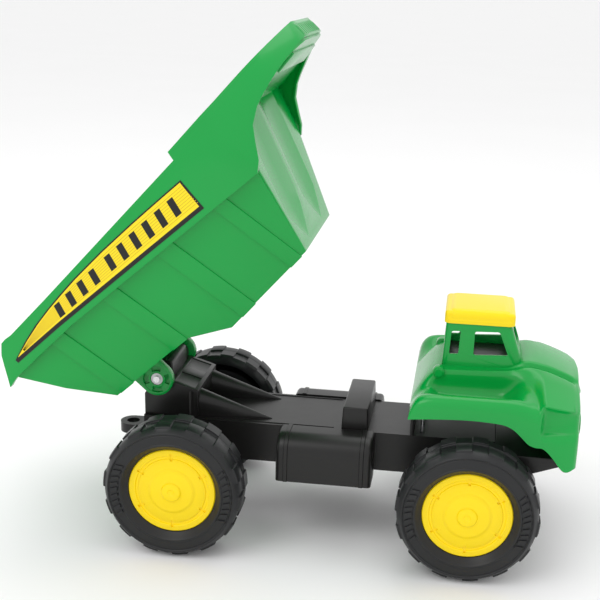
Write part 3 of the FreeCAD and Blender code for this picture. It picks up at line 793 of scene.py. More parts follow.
# %% The cab's lines, each as (position, half width, height)
CAB_LINES = [
    [(170.3, 0, 118.2), (171.2, 0, 120.4), (173, 0, 124), (176.5, 0, 130), (180.5, 0, 136), (185, 0, 141),
     (188.2, 0, 143.4), (190.5, 0, 144), (240, 0, 144.6), (246, 0, 147.8), (252, 0, 151.0),
     (262, 0, 150.6), (272, 0, 148.5), (284, 0, 143.9), (291, 0, 140.6)],
    [(170.3, 15, 118.2), (171.2, 15, 120.4), (173, 15, 124), (176.5, 15, 130), (180.5, 15, 136),
     (185, 15, 141), (188.2, 15, 143.4), (190.5, 15, 144), (240, 15, 144.6), (246, 15, 147.7),
     (252, 15, 150.9), (262, 15, 150.3), (272, 15, 148.2), (284, 15, 143.6), (291, 15, 140.3)],
    [(170.3, 28, 118.2), (171.2, 28, 120.4), (173, 28, 124), (176.5, 28, 130), (180.5, 28, 135.6),
     (185, 28, 140.2), (188.2, 28.2, 142.8), (190.5, 28.4, 143.4), (240, 28.4, 144.4), (246, 28.2, 147.0),
     (252, 28, 150.3), (256, 28, 150.4), (262, 28, 149.4), (272, 28, 147.2), (284, 28, 142.7),
     (291, 28, 139.5)],
    [(170.3, 32, 118.2), (171.2, 32, 120.3), (173, 32, 123.7), (176.5, 32, 129.4), (180.5, 32, 134.8),
     (185, 32, 139.4), (188.2, 31, 142.2), (190.5, 30.4, 142.9), (240, 30.4, 143.8), (246, 30, 145.2),
     (252, 29.8, 147.2), (256, 29.6, 147.4), (262, 29.6, 146.4), (272, 29.6, 144.2), (284, 29.7, 139.6),
     (291, 29.8, 136.4)],
    [(170.3, 36, 118.1), (171.2, 36, 120.2), (173, 36, 123.4), (176.5, 36, 128.6), (180.5, 36, 133.6),
     (185, 36, 138), (188.2, 36, 141), (190.5, 36.2, 142.4), (217, 36.2, 143.2), (231, 36.2, 143.9),
     (240, 36.2, 144.5), (246, 36, 145.8), (252, 35.6, 147.5), (256, 35.4, 148.2), (262, 35.4, 147.5),
     (272, 35.6, 145.3), (284, 36, 140.7), (291, 36.4, 137.4)],
    [(170.3, 42, 118.0), (173, 42, 121.3), (176.5, 41, 125.3), (180.5, 40, 128.5), (185, 38.4, 132),
     (188.2, 37.4, 136), (190.5, 37.2, 138.8), (231, 37.2, 139.8), (240, 37.6, 140.8),
     (245.6, 38.8, 141.8), (250, 40.6, 141.4), (255, 44.5, 139.6), (260.4, 54, 136.6), (263.6, 66, 134.6),
     (265, 73.5, 133.8), (267.2, 78.6, 134.4), (276, 76.5, 132.3), (284, 73.5, 130.2), (291, 69, 128.2)],
    [(170.3, 48, 118.0), (173, 48, 121.2), (176.5, 46, 125.2), (180.5, 43, 127.4), (185, 39, 127.6),
     (188.2, 36.6, 125), (190.5, 35.6, 123), (238, 36, 122.4), (245.5, 39.5, 128.6), (250, 45, 133.6),
     (254.6, 52.0, 135.0), (260, 62, 134.6), (263.2, 71, 133.0), (265, 79.4, 132.2), (267.2, 74.8, 131.2),
     (276, 73.0, 129.3), (284, 70.5, 127.4), (291, 66.5, 125.4)],
    [(170.3, 60, 118.0), (171.2, 60, 121.2), (173, 60, 124.4), (176.5, 59, 127.4), (180.5, 58, 128.6),
     (185, 57, 127.6), (188.2, 56, 124.5), (190.5, 56, 122.6), (238, 56.5, 122.0), (245.5, 58.5, 127.4),
     (250, 62, 133.2), (254.6, 67, 134.6), (260, 73.5, 133.6), (263.2, 77.6, 130.6), (265, 80.4, 126.5),
     (267.2, 73.4, 126.5), (276, 72.0, 125.5), (284, 70.2, 124.5), (291, 67.0, 123)],
    [(170.3, 68, 118.0), (171.2, 68, 123.5), (173, 68, 129.0), (176.5, 68, 133.2), (180.5, 68, 134.9),
     (185, 68.4, 135.4), (190.5, 68.6, 135.6), (204, 68.6, 135.6), (238, 69, 136.0), (245.5, 69.6, 136.2),
     (250, 71.0, 136.0), (254.6, 73.8, 134.4), (260, 77.4, 130.8), (263.2, 79.4, 126.5), (265, 80.6, 120),
     (267.2, 73.2, 117.0), (276, 71.8, 116.8), (284, 70.6, 116.6), (291, 68.0, 116.4)],
    [(170.3, 75, 118.0), (171.2, 75, 123.5), (173, 75, 128.8), (176.5, 75.2, 133.0), (180.5, 75.3, 134.8),
     (185, 75.4, 135.5), (190.5, 75.4, 135.8), (204, 75.6, 136.0), (238, 75.8, 136.0),
     (245.5, 76.2, 135.6), (250, 76.8, 134.4), (254.6, 78.2, 131.6), (260, 79.7, 127.0),
     (263.2, 80.3, 122.0), (265, 80.6, 115), (267.2, 75.2, 113.5), (276, 73.8, 113.3), (284, 72.8, 113.1),
     (291, 70.5, 113)],
    [(170.3, 79, 118.0), (171.2, 79.1, 122.2), (173, 79.3, 126.0), (176.5, 79.5, 129.4),
     (180.5, 79.6, 131.2), (185, 79.7, 132.0), (190.5, 79.8, 132.2), (204, 79.8, 132.4),
     (238, 79.9, 132.2), (245.5, 80.0, 131.4), (250, 80.2, 129.6), (254.6, 80.4, 126.4),
     (260, 80.6, 121.0), (263.2, 80.6, 116.0), (265, 80.6, 111.6), (267.2, 80.5, 111.6),
     (276, 79.2, 111.6), (284, 77.6, 111.6), (291, 75.2, 111.4)],
    [(170.3, 80.2, 117.9), (171.2, 80.3, 119.6), (173, 80.5, 121.4), (176.5, 80.6, 123.2),
     (180.5, 80.6, 124.2), (185, 80.6, 124.8), (190.5, 80.6, 125.2), (204, 80.6, 125.8),
     (238, 80.6, 125.4), (245.5, 80.6, 123.4), (250, 80.6, 120.6), (254.6, 80.6, 115.8),
     (260, 80.6, 111.5), (263.2, 80.6, 108.4), (265, 80.6, 107), (267.2, 80.6, 107.6), (276, 79.6, 102),
     (284, 78.2, 98), (291, 75.8, 98)],
    [(170.3, 80.6, 117.6), (187.5, 80.6, 119), (211, 80.6, 120.4), (235.8, 80.6, 119.6),
     (241, 80.6, 118.2), (247.2, 80.6, 115.2), (252.8, 80.6, 109.4), (257.7, 80.6, 104.6),
     (262.8, 80.6, 103.0), (268.4, 80.6, 103.4), (275.7, 79.6, 95.6), (283.4, 78.2, 84.4),
     (287.5, 77.2, 84.0), (291, 75.8, 86.6)]]
STATIONS = [170.3, 171.2, 173.0, 176.5, 180.5, 185.0, 188.2, 190.5, 197.0, 212.0, 227.0, 238.0, 242.0,
            246.0, 250.0, 254.6, 257.6, 260.2, 263.2, 265.0, 267.2, 270.5, 276.0, 280.0, 284.0, 288.0,
            291.0]


def line_point(line, x):
    """The point of one line at a station, on the truck's right."""
    return truck(x, -between([(p[0], p[1]) for p in line], x), between([(p[0], p[2]) for p in line], x))


def cab_row(x):
    """The points of the half shell at one station, from the centre plane down to the lip."""
    return [line_point(line, x) for line in CAB_LINES]


cab_rows = [cab_row(x) for x in STATIONS]
nose = list(cab_rows[-1])
NOSE_STEPS = [(292.6, 0.97), (294.2, 0.93)]
BUMPER_Z = 84.5 * MM
for x, shrink in NOSE_STEPS:
    row = []
    for p in nose:
        drop = (1 - shrink) * 0.02 if p.z > 0.11 else 0.0
        row.append(Vector((truck(x, 0, 0).x, p.y * shrink, max(p.z - drop, BUMPER_Z))))
    cab_rows.append(row)
cab_shell = row_by_row("cab_shell", cab_rows)
print("cab stations", len(STATIONS), "points in a row", len(CAB_LINES))

# %% [markdown]
# The front is closed by drawing its edge to the centre plane. A plain grille and two round lamps are set
# on it later.

# %% Close the front and mirror
open_up(cab_shell, "EDGE")
front_x = max(v.co.x for v in cab_shell.data.vertices)
pick_edges(cab_shell, lambda a, b: a.x > front_x - 0.0001 and b.x > front_x - 0.0001)
bpy.ops.mesh.extrude_region_move(TRANSFORM_OT_translate={"value": (0, 0, 0)})
mesh = bmesh.from_edit_mesh(cab_shell.data)
for corner in [v for v in mesh.verts if v.select]:
    corner.co.y = 0.0
    corner.co.x = front_x + 0.6 * MM
bmesh.update_edit_mesh(cab_shell.data)
bpy.ops.mesh.select_all(action="SELECT")
bpy.ops.mesh.remove_doubles(threshold=SAME)
shut()
modify(cab_shell, "MIRROR", use_axis=(False, True, False), use_clip=True, merge_threshold=0.0002)
face_out(cab_shell)
top_faces = [p for p in cab_shell.data.polygons
             if 0.21 < p.center.x - AXLE_X < 0.23 and abs(p.center.y) < 0.03]
if sum(p.normal.z for p in top_faces) < 0:
    flip(cab_shell)

# %% Creases, thickness and rounding
open_up(cab_shell, "EDGE")
mesh = bmesh.from_edit_mesh(cab_shell.data)
crease = mesh.edges.layers.float.get("crease_edge") or mesh.edges.layers.float.new("crease_edge")
strength = {2: 0.85, 3: 0.7, 4: 0.85, 5: 0.85}
CREASES_FROM_X = 186


def near_line(point, k):
    """Whether a point lies on one of the cab's lines, on either side."""
    x = (point.x - AXLE_X) / MM
    on_right = Vector((point.x, -abs(point.y), point.z))
    return x > CREASES_FROM_X and (on_right - line_point(CAB_LINES[k], x)).length < 0.2 * MM


for edge in mesh.edges:
    a, b = (v.co for v in edge.verts)
    for k in strength:
        if near_line(a, k) and near_line(b, k):
            edge[crease] = strength[k]
    if len(edge.link_faces) == 1:
        edge[crease] = 0.9
bmesh.update_edit_mesh(cab_shell.data)
shut()
modify(cab_shell, "SOLIDIFY", thickness=2.2 * MM, offset=-1.0, use_even_offset=False)
modify(cab_shell, "SUBSURF", levels=2, render_levels=2)
smooth(cab_shell, 50)
print("cab shell faces", len(cab_shell.data.polygons))

# %% [markdown]
# ## Pegs, ledges and grille
# Small mouldings sit on the shell: a round peg at the rear end of the belt ridge, where a hand rail would
# be, and slots and lamps on the front. Each is a primitive that is shaped, not left as it comes.

# %% Belt pegs
def belt_peg(name, sign):
    """A short round peg, stepped at its end."""
    peg = rod(name, truck(189.6, sign * 31.5, 140.6), truck(189.6, sign * 38.8, 140.6), 4.5 * MM, 28)
    step_face(peg, lambda c, n: n.y * sign > 0.9, 1.2, (0, sign * 0.9, 0))
    bpy.ops.mesh.inset(thickness=0.8 * MM)
    shut()
    return soften(peg, 0.5, 2, 40)


pegs = [belt_peg("peg_right", -1), belt_peg("peg_left", 1)]

# %% Grille and lamps
front_bits = []
for k in range(5):
    bar = block("grille_bar", truck(293.6, -30, 104 + 6.2 * k), truck(295.4, 30, 107 + 6.2 * k))
    front_bits.append(soften(bar, 0.7, 2))
for sign in (-1, 1):
    lamp = rod("lamp", truck(293.0, sign * 48, 112), truck(295.2, sign * 48, 112), 8.5 * MM, 40)
    step_face(lamp, lambda c, n: n.x > 0.9, 1.8, (-1.2, 0, 0))
    shut()
    front_bits.append(soften(lamp, 0.5, 2))
cab_details = merged("cab_details", pegs + front_bits)

# %% [markdown]
# ## The cabin
# Above the belt the cabin narrows towards its roof. A box is tapered by moving its upper corners, hollowed
# from below, and pierced: a slot and a window with a raked front on each side, a windscreen and a rear
# window. The corner between side and windscreen is a broad chamfer, which reads as the front pillar.

# %% The cabin's shell
CABIN_LOW, CABIN_TOP = 142.0, 176.6
REAR_X, FRONT_X, CABIN_HALF = (191.0, 192.8), (253.2, 241.0), (28.4, 26.2)


def cabin_block(name, gap):
    """The tapered box, drawn in by a gap at its sides. Each pair of sizes is for its foot and its top."""
    cabin = block(name, truck(REAR_X[0] + gap, -28 + gap, CABIN_LOW - gap * 2),
                  truck(253.0 - gap, 28 - gap, CABIN_TOP + gap * 2))
    for v in cabin.data.vertices:
        upper = v.co.z > 0.16
        rear = v.co.x < truck(220, 0, 0).x
        v.co.x = truck(REAR_X[upper] + gap if rear else FRONT_X[upper] - gap, 0, 0).x
        v.co.y = math.copysign((CABIN_HALF[upper] - gap) * MM, v.co.y)
    return cabin


cabin = cabin_block("cabin", 0.0)
open_up(cabin, "EDGE")
pick_edges(cabin, lambda a, b: a.x > AXLE_X + 0.22 and b.x > AXLE_X + 0.22 and abs(a.z - b.z) > 0.02)
bpy.ops.mesh.bevel(offset=0.0046, segments=3, profile=0.5)
bpy.ops.mesh.select_all(action="DESELECT")
pick_edges(cabin, lambda a, b: a.x < AXLE_X + 0.20 and b.x < AXLE_X + 0.20 and abs(a.z - b.z) > 0.02)
bpy.ops.mesh.bevel(offset=0.003, segments=3, profile=0.5)
shut()
CABIN_WALL = 2.3
hollow = cabin_block("hollow", CABIN_WALL)


# %% Windows
def window(points, move, corner):
    """A cutter with rounded corners: an outline pushed through the cabin by a move in millimetres."""
    cutter = slab("window", points, Vector(move) * MM)
    open_up(cutter, "EDGE")
    pick_edges(cutter, lambda a, b: abs((a - b).dot(Vector(move))) > 0.9 * MM * Vector(move).length_squared)
    bpy.ops.mesh.bevel(offset=corner * MM, segments=4)
    shut()
    return cutter


def side_window(outline, corner):
    """A cutter through both sides."""
    return window([truck(x, -40, z) for x, z in outline], (0, 80, 0), corner)


def cross_window(low_x, high_x, half_low, half_top, low_z, top_z):
    """A cutter through the front or the rear."""
    points = [(-half_low, low_z), (half_low, low_z), (half_top, top_z), (-half_top, top_z)]
    return window([truck(low_x, y, z) for y, z in points], (high_x - low_x, 0, 0), 2.2)


slot = side_window([(197.1, 169.8), (203.8, 170.1), (203.0, 152.4), (196.1, 152.1)], 1.3)
side_glass = side_window([(214.4, 170.4), (232.6, 171.1), (240.0, 153.6), (214.3, 152.2)], 1.5)


windscreen = cross_window(232.0, 262.0, 20.5, 19.0, 153.5, 171.6)
rear_window = cross_window(184.0, 195.6, 18.5, 17.5, 153.0, 170.0)
carve(cabin, [hollow, slot, side_glass, windscreen, rear_window])
soften(cabin, 0.45, 2, 32)
smooth(cabin, 32)
print("cabin faces", len(cabin.data.polygons))

# %% [markdown]
# ## The roof
# The yellow roof is a thick cap with very round edges, held between a narrow band at the front and one at
# the back. Each of its parts is drawn as level rings, so its corners and its upper edge stay even.

# %% Shape the roof
def rounded_cap(name, x0, x1, half, low, high, corner, rim):
    """A cap made of level rings: straight sides, then a quarter round of the rim's radius at the top."""
    rings = [(low, 0.0), (high - rim, 0.0)]
    for k in range(1, 7):
        turn = math.radians(15 * k)
        rings.append((high - rim + rim * math.sin(turn), rim * (1 - math.cos(turn))))
    rows = []
    for z, inset in rings:
        radius = max(corner - inset * 0.6, 1.0)
        row = []
        for quarter, (sx, sy) in enumerate(((1, 1), (-1, 1), (-1, -1), (1, -1))):
            cx = (x1 - inset - radius) if sx > 0 else (x0 + inset + radius)
            cy = sy * (half - inset - radius)
            for k in range(6):
                angle = math.radians(90 * quarter + 18 * k)
                row.append(truck(cx + radius * math.cos(angle), cy + radius * math.sin(angle), z))
        rows.append(row)
    return close_ends(row_by_row(name, rows, closed=True), 2, (low * MM, high * MM))


roof_mid = rounded_cap("roof_mid", 193.4, 241.4, 26.9, 176.2, 186.4, 5.0, 5.4)
roof_lip_rear = rounded_cap("roof_lip_rear", 191.3, 207.0, 26.2, 176.1, 185.2, 2.6, 2.8)
roof_lip_front = rounded_cap("roof_lip_front", 228.0, 243.5, 26.2, 176.1, 185.2, 2.6, 2.8)
roof_base = rounded_cap("roof_base", 191.3, 243.5, 27.1, 175.9, 179.4, 5.0, 1.0)
cab_top = merged("roof", [roof_mid, roof_lip_rear, roof_lip_front, roof_base])
smooth(cab_top, 45)

# %% Fit the cab
fit_out(cab_shell, green, "chassis", "green_plastic", "cab_body")
smooth(cab_details, 35)
fit_out(cab_details, green, "chassis", "green_plastic")
fit_out(cabin, green, "chassis", "green_plastic", "cab_glasshouse")
fit_out(cab_top, yellow, "chassis", "yellow_plastic", "cab_roof")


# %% [markdown]
# ## The tyres
# A tyre is one profile turned about the axle. Every other stretch of its tread is then lifted, in two
# staggered rows of fourteen square lugs, and small bars stand on the sidewall in place of lettering. The
# profile runs from the hub sleeve on the inner side, over the tread, and back into the rim's mouth.

# %% Turn a profile
WHEEL_BASE = 218.0
HUB_Z = 52.6
HUB = truck(0, 0, HUB_Z)


def turned(name, profile, steps):
    """A profile of (radius, y) turned about the wheel's axle at the rear left, closed on itself."""
    piece = drawn_line(name, [truck(r, y, HUB_Z) for r, y in profile])
    bpy.ops.mesh.spin(steps=steps, angle=math.tau, center=HUB, axis=(0, 1, 0))
    bpy.ops.mesh.select_all(action="SELECT")
    bpy.ops.mesh.remove_doubles(threshold=2 * SAME)
    shut_facing_out()
    return piece


def polar(point):
    """Radius in millimetres and angle in turns about the rear axle."""
    x, z = (point.x - AXLE_X) / MM, point.z / MM - HUB_Z
    return math.hypot(x, z), math.atan2(z, x) / math.tau % 1.0


# %% The tyre
TYRE_LINE = [(2.6, 68.3), (8.9, 68.3), (9.0, 84.0), (33.5, 84.0), (34.9, 89.0), (41.0, 96.0), (48.6, 92.0),
             (48.8, 72.6), (44.0, 68.6), (46.6, 68.4), (49.6, 69.8), (51.2, 71.8), (51.2, 82.6),
             (50.6, 83.2), (50.6, 83.8), (51.2, 84.4), (51.2, 95.6), (50.4, 97.6), (48.4, 100.6),
             (47.6, 101.4), (46.9, 101.5), (46.5, 100.9), (45.9, 100.8), (45.4, 101.1), (39.4, 101.2),
             (38.8, 101.6), (37.8, 101.5), (36.4, 100.2), (34.2, 96.9), (33.1, 96.2), (33.1, 92.2),
             (30.0, 92.2), (30.0, 87.3), (2.6, 87.3)]
LUGS = 14
LUG_ROWS = ((70.5, 82.9), (84.1, 98.6))
LUG_HIGH, TYRE_R = 1.3, 52.5


def lug_of(angle, row):
    """Whether this angle lies on a lug of the inner (0) or outer (1) row."""
    return (angle * LUGS + 0.5 * row) % 1.0 < 0.5


def on_tread(centre, normal):
    """Whether a face lies on the outside of the tread."""
    return polar(centre)[0] > 48.6 and normal.dot(Vector((centre.x - AXLE_X, 0, centre.z - AXLE_Z))) > 0


tyre = turned("tyre", TYRE_LINE, 112)
for row, (low_y, high_y) in enumerate(LUG_ROWS):
    open_up(tyre)
    count = pick_faces(tyre, lambda c, n: low_y < c.y / MM < high_y and on_tread(c, n)
                       and lug_of(polar(c)[1], row))
    bpy.ops.mesh.extrude_region_shrink_fatten(TRANSFORM_OT_shrink_fatten={"value": 0.0})
    mesh = bmesh.from_edit_mesh(tyre.data)
    for v in [v for v in mesh.verts if v.select]:
        r = polar(v.co)[0]
        grow = min(TYRE_R - r if r > 50.9 else LUG_HIGH, LUG_HIGH) / r
        v.co.x += (v.co.x - AXLE_X) * grow
        v.co.z += (v.co.z - AXLE_Z) * grow
        if v.co.y / MM > 99:
            v.co.y += 0.4 * MM
    bmesh.update_edit_mesh(tyre.data)
    shut()
    print("row", row, "lug faces", count)
soften(tyre, 0.28, 1, 42)

# %% [markdown]
# On the sidewall, short slanted bars stand in two arcs left and right of the rim, where a real toy carries
# raised letters. Each bar is a small box, turned into its place on the arc.

# %% Sidewall bars
BAR_RING, BAR_SLANT, BAR_STEP = 42.6, 0.35, 0.115


def sidewall_bar(turn_by, width):
    """A small box bent into its place on the ring of bars."""
    bar = block("bar", truck(40.0, 101.0, HUB_Z - width / 2), truck(45.2, 102.08, HUB_Z + width / 2))
    for v in bar.data.vertices:
        x, z = (v.co.x - AXLE_X) / MM, v.co.z / MM - HUB_Z
        angle = turn_by + (z + BAR_SLANT * (x - BAR_RING)) / BAR_RING
        v.co.x = AXLE_X + x * math.cos(angle) * MM
        v.co.z = (HUB_Z + x * math.sin(angle)) * MM
    return bar


bars = [sidewall_bar(centre + k * BAR_STEP, 2.2 if k % 3 else 3.4)
        for centre in (0.0, math.pi) for k in range(-4, 5)]
tyre = merged("tyre", [tyre] + bars)
smooth(tyre, 30)

# %% [markdown]
# ## The wheel discs
# The yellow disc is turned too. Its face has a groove ring, a raised circle with sloping sides, and a
# middle boss. Six short slots lie across the groove. They are cut with one cutter that is turned round.

# %% The disc
DISC_LINE = [(0.0, 92.7), (6.0, 92.7), (8.0, 92.3), (32.7, 92.3), (32.9, 92.9), (32.9, 95.4), (32.3, 96.1),
             (28.4, 96.2), (27.9, 95.9), (27.5, 95.2), (25.8, 95.2), (25.4, 95.9), (24.8, 96.2), (18.6, 96.3),
             (17.4, 96.6), (16.4, 97.4), (15.0, 97.7), (8.6, 97.9), (7.6, 98.2), (6.8, 99.3), (5.8, 99.7),
             (2.6, 99.8), (2.0, 99.3), (0.0, 99.3)]
disc = turned("hub_disc", DISC_LINE, 96)
slots = []
for k in range(6):
    slot_cut = block("slot_cut", truck(24.0, 94.9, HUB_Z - 1), truck(29.6, 97.5, HUB_Z + 1))
    swing = Matrix.Rotation(math.radians(60 * k + 30), 4, "Y")
    slot_cut.data.transform(Matrix.Translation(HUB) @ swing @ Matrix.Translation(-HUB))
    slots.append(slot_cut)
carve(disc, slots)
smooth(disc, 28)

# %% Four wheels
for finish, piece, kind, slot_name in ((tyre_black, tyre, "tyre", "tyre_plastic"),
                                       (yellow, disc, "hub_disc", "yellow_plastic")):
    for end, distance in (("front", WHEEL_BASE), ("rear", 0.0)):
        left = shifted(piece, f"{kind}_look_{end}_left", (distance, 0, 0))
        right = other_side(left, f"{kind}_look_{end}_right")
        fit_out(left, finish, f"wheel_{end}_left", slot_name, f"{kind}_{end}_left")
        fit_out(right, finish, f"wheel_{end}_right", slot_name, f"{kind}_{end}_right")
    bpy.data.objects.remove(piece)

# %% [markdown]
# ## The hinge tower
# The tower behind the deck carries the hinge pin. Its top is a broad block with a narrower block on it,
# and a sloping front with two shallow recesses, and a round column stands at each front corner. The two
# blocks have their hard edges softened as a mould leaves them.

# %% Shape the tower
def wedge(name, outline, half):
    """A side outline (x, z), pushed out over a half width to both sides."""
    return slab(name, [truck(x, -half, z) for x, z in outline], (0, 2 * half * MM, 0))


TOWER_OUTLINE = [(-37.5, 87.0), (5.0, 87.0), (5.0, 109.4), (2.6, 110.2), (-15.8, 115.6), (-30.0, 115.6),
                 (-37.5, 104.0)]
SADDLE_OUTLINE = [(-34.6, 113.0), (-17.0, 113.0), (-17.6, 127.6), (-20.2, 128.6), (-23.0, 128.6),
                  (-34.6, 116.6)]
tower = wedge("tower", TOWER_OUTLINE, 32.1)
facets = []
for sign in (-1, 1):
    facet = block("facet", truck(-14.0, sign * 17.5 - 10.5, 107), truck(2.0, sign * 17.5 + 10.5, 120))
    for v in facet.data.vertices:
        if v.co.z < 0.11:
            v.co.z = (114.4 if v.co.x < AXLE_X - 0.005 else 109.7) * MM
    facets.append(facet)
carve(tower, facets)
saddle = wedge("saddle", SADDLE_OUTLINE, 22.5)
boss = rod("boss", truck(-25.9, -32.2, 118.5), truck(-25.9, 32.2, 118.5), 7.9 * MM, 40)
soften(tower, 0.8, 3, 25)
soften(saddle, 1.2, 3, 25)
columns = []
for y in (-27.6, 27.6):
    column = rod("column", truck(0.4, y, 86.9), truck(0.4, y, 108.2), 5.0 * MM, 40)
    step_face(column, lambda c, n: n.z > 0.9, 1.2, (0, 0, 0.8))
    shut()
    columns.append(column)
tower = merged("tower_look", [tower, saddle, boss] + columns)

# %% [markdown]
# ## The gussets
# Two long ribs run from the tower down to the deck. Each is like half a pipe, widest and tallest where it
# leaves the tower, and it tapers to a point on the deck.

# %% Two gussets
HALF_ARCH = [(1.0, 0.0), (0.99, 0.3), (0.93, 0.58), (0.78, 0.82), (0.52, 0.95), (0.2, 1.0)]
ARCH = [(-s, h) for s, h in HALF_ARCH] + HALF_ARCH[::-1]


def gusset(y):
    """One rib: the arch, drawn smaller and smaller from the tower to its tip."""
    rows = []
    for k in range(11):
        t = k / 10
        tall = 20.4 * (1 - t) + 0.6
        spread = 7.8 * (1 - t) ** 0.9 + 0.5
        rows.append([truck(4.6 + 57.4 * t, y + spread * s, 86.7 + tall * h) for s, h in ARCH])
    piece = row_by_row("gusset", rows)
    open_up(piece, "EDGE")
    bpy.ops.mesh.select_all(action="SELECT")
    bpy.ops.mesh.region_to_loop()
    bpy.ops.mesh.edge_face_add()
    shut_facing_out()
    return piece


floor_ribs = [block("floor_rib", truck(5.0, y - 0.6, 86.7), truck(112.0, y + 0.6, 87.5))
              for y in (-31.0, 31.0)]
ribs = merged("gussets", [gusset(-22.0), gusset(22.0)] + [soften(rib, 0.3, 2) for rib in floor_ribs])

# %% [markdown]
# ## Rest block, tanks and deck edge
# The rest block is a tapered block with round edges, as wide as the deck. Each side tank is a drum lying
# along the truck, with a ring band near each end and a flat face below.

# %% The rest block
rest = block("rest_look", truck(117.8, -34.4, 84.6), truck(138.9, 34.4, 105.4))
for v in rest.data.vertices:
    if v.co.z > 0.1:
        v.co.x += (1.0 if v.co.x < AXLE_X + 0.128 else -1.0) * MM
        v.co.y *= 33.6 / 34.4
soften(rest, 1.3, 3, 30)

# %% The tanks
SHOULDER_R = 15.0
TANK_ARC = [(61.8, 52.0), (61.8, 73.3)]
for k in range(1, 10):
    turn = math.radians(10 * k)
    TANK_ARC.append((46.8 + SHOULDER_R * math.cos(turn), 73.3 + SHOULDER_R * math.sin(turn)))
TANK_ARC += [(34.8, 88.3), (34.8, 52.0)]
TANK_MIDDLE = (48.4, 69.9)


def tank_ring(x, grow):
    """The drum's outline at one station, its outer side and its top grown by millimetres."""
    return [truck(x, -(y + grow * (y > TANK_MIDDLE[0])), z + grow * (z > TANK_MIDDLE[1]))
            for y, z in TANK_ARC]


TANK_STEPS = [(71.4, -3.2), (71.9, -1.6), (73.0, -0.6), (74.4, -0.2), (77.4, -0.2), (77.8, 0.45),
              (80.4, 0.45), (80.8, -0.2), (135.2, -0.2), (135.6, 0.45), (138.2, 0.45), (138.6, -0.2),
              (141.6, -0.2), (143.0, -0.6), (144.1, -1.6), (144.5, -3.2)]
tank = row_by_row("tank_look_right", [tank_ring(x, grow) for x, grow in TANK_STEPS], closed=True)
close_ends(tank, 0, [truck(TANK_STEPS[k][0], 0, 0).x for k in (0, -1)])
smooth(tank, 40)
tank_left = other_side(tank, "tank_look_left")

# %% [markdown]
# Under the bonnet the deck ends in a solid-looking bracket that carries the cab. Its lower front slopes up.

# %% The cab's bracket and the panel behind the cab
BRACKET_OUTLINE = [(236.1, 70.2), (262.0, 72.2), (283.8, 80.2), (283.8, 86.8), (236.1, 86.8)]
bracket = wedge("bracket_look", BRACKET_OUTLINE, 57.8)
soften(bracket, 1.0, 3, 25)
panel = block("panel", truck(170.9, -35.6, 87.0), truck(174.0, 35.6, 117.6))
step_face(panel, lambda c, n: n.x < -0.9, 3.5, (1.2, 0, 0))
shut()
soften(panel, 0.5, 2, 40)
cabin_floor = block("cabin_floor", truck(193.6, -25.6, 144.0), truck(247.0, 25.6, 146.2))
bracket = merged("bracket_look", [bracket, panel, soften(cabin_floor, 0.4, 2)])

# %% Fit the chassis pieces
smooth(ribs, 40)
fit_out(ribs, black, "chassis", "black_plastic")
for piece, plain_part in ((bracket, "cab_bracket"), (tower, "hinge_tower"), (rest, "bed_rest_block")):
    smooth(piece, 35)
    fit_out(piece, black, "chassis", "black_plastic", plain_part)
fit_out(tank, black, "chassis", "black_plastic", "side_tank_right")
fit_out(tank_left, black, "chassis", "black_plastic", "side_tank_left")

# %% [markdown]
# ## The side decals
# Each side of the bed carries a long yellow film with a black border, thicker along its lower edge. Fine
# lengthwise lines run through the yellow, and a row of plain slanted bars stands where a toy's lettering
# would be. The film is one thin slab. The yellow field, the lines and the bars lie on it in steps of a
# few hundredths of a millimetre, so that no two surfaces share a plane.

# %% The decal's outline, lying flat
DECAL_UPPER = [(-34.6, 84.6), (-20, 88.4), (-5, 90.6), (15, 92.0), (40, 92.2), (70, 90.8), (100, 88.2),
               (125, 85.5), (147.6, 82.8)]
DECAL_LOWER = [(-36.4, 81.9), (8, 77.2), (50, 71.6), (100, 64.9), (144.9, 58.8)]


def decal_slab(name, upper_gap, lower_gap, end_gap, low_y, high_y):
    """The outline drawn in from its edges, as a thin slab."""
    x0, x1 = DECAL_LOWER[0][0] + end_gap * 2.4, DECAL_UPPER[-1][0] - end_gap
    lean = DECAL_UPPER[-1][0] - DECAL_LOWER[-1][0]
    points = []
    for k in range(13):
        f = x0 + (x1 - x0) * k / 12
        lowest = between(DECAL_LOWER, f) + lower_gap + 0.25
        points.append((f, max(between(DECAL_UPPER, f) - upper_gap, lowest)))
    for k in range(12, -1, -1):
        f = x0 + (x1 - lean - x0) * k / 12
        points.append((f, between(DECAL_LOWER, f) + lower_gap))
    return slab(name, [flat_bed(f, -low_y, u) for f, u in points], (0, -(high_y - low_y) * MM, 0))


film_black = moulded("film_black", tint(0.008, 0.008, 0.008), tint(0.014, 0.014, 0.014), 0.3, 0.005, 0.08)
film_yellow = moulded("film_yellow", tint(0.93, 0.70, 0.01), tint(0.96, 0.76, 0.02), 0.3, 0.005, 0.08)
film_line = moulded("film_line", tint(0.62, 0.42, 0.01), tint(0.68, 0.47, 0.01), 0.3, 0.005, 0.08)
decal_back = decal_slab("decal_back", 0.0, 0.0, 0.0, 98.45, 98.68)
decal_field = decal_slab("decal_field", 1.0, 3.0, 1.5, 98.6, 98.74)

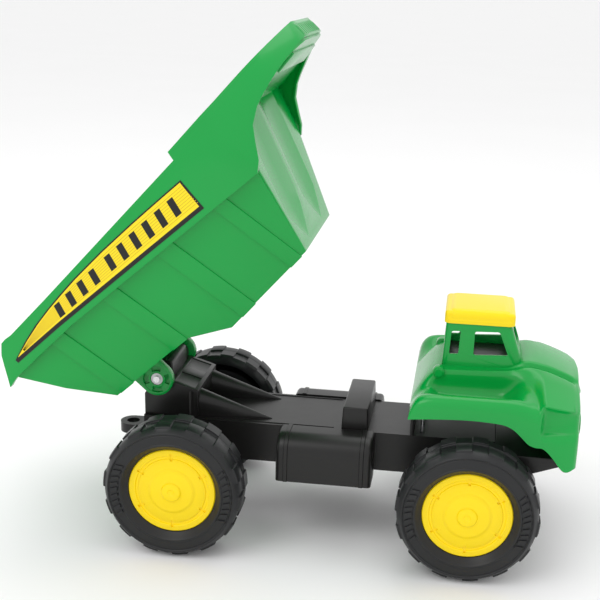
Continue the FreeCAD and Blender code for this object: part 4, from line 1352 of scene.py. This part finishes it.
# %% Fine lines and slanted bars
lines = []
LINE_WIDTH = 0.35
for share in [0.12 + 0.095 * k for k in range(9)]:
    points = []
    for side_step in (0.0, LINE_WIDTH):
        row = []
        for k in range(13):
            f = -26.0 + 171.0 * k / 12
            low, high = between(DECAL_LOWER, f) + 3.2, between(DECAL_UPPER, f) - 1.2
            row.append((f, low + (high - low) * share + side_step))
        points += row if side_step == 0.0 else row[::-1]
    lines.append(slab("line", [flat_bed(f, -98.7, u) for f, u in points], (0, -0.07 * MM, 0)))
decal_lines = merged("decal_lines", lines)
bars = []
BAR_HALF, BAR_LEAN = 2.6, 1.7
for k in range(10):
    f = 17.0 + 12.2 * k + (4.0 if k > 3 else 0.0)
    middle = (between(DECAL_LOWER, f) + 3.0 + between(DECAL_UPPER, f) - 1.0) / 2
    tall = 5.0 + 0.16 * k
    points = [(f - BAR_HALF - BAR_LEAN, middle - tall + 0.9), (f + BAR_HALF - BAR_LEAN, middle - tall + 0.2),
              (f + BAR_HALF + BAR_LEAN, middle + tall - 0.7), (f - BAR_HALF + BAR_LEAN, middle + tall)]
    bars.append(slab("bar", [flat_bed(a, -98.72, b) for a, b in points], (0, -0.1 * MM, 0)))
decal_bars = merged("decal_bars", bars)

# %% Lay the decals on both sides
for piece, finish in ((decal_back, film_black), (decal_field, film_yellow), (decal_lines, film_line),
                      (decal_bars, film_black)):
    tip_up(piece)
    left = other_side(piece, piece.name + "_left")
    piece.name = piece.name + "_right"
    for half, hand in ((piece, "right"), (left, "left")):
        plain_part = [f"bed_decal_{hand}"] if piece is decal_back else []
        fit_out(half, finish, "dump_bed_body", "decal_film", *plain_part)

# %% [markdown]
# ## Finishes for the parts that keep their modelled shape
# Axles, nuts, screws and the axle beams are already as the factory makes them. They only need their
# materials.

# %% Finish the plain parts
plain_finishes = {
    "rear_axle": bright_rod, "front_axle": bright_rod, "hinge_pin": bright_rod,
    "axle_push_nuts": zinc, "hinge_push_nuts": zinc, "cab_screws": zinc,
    "rear_axle_beam": black, "front_axle_beam": black, "tow_hitch": black, "chassis_deck": black,
}
for name, finish in plain_finishes.items():
    part = frame["nodes"][name]
    part.data.materials.clear()
    part.data.materials.append(finish)
print("parts with their modelled shape", list(plain_finishes))
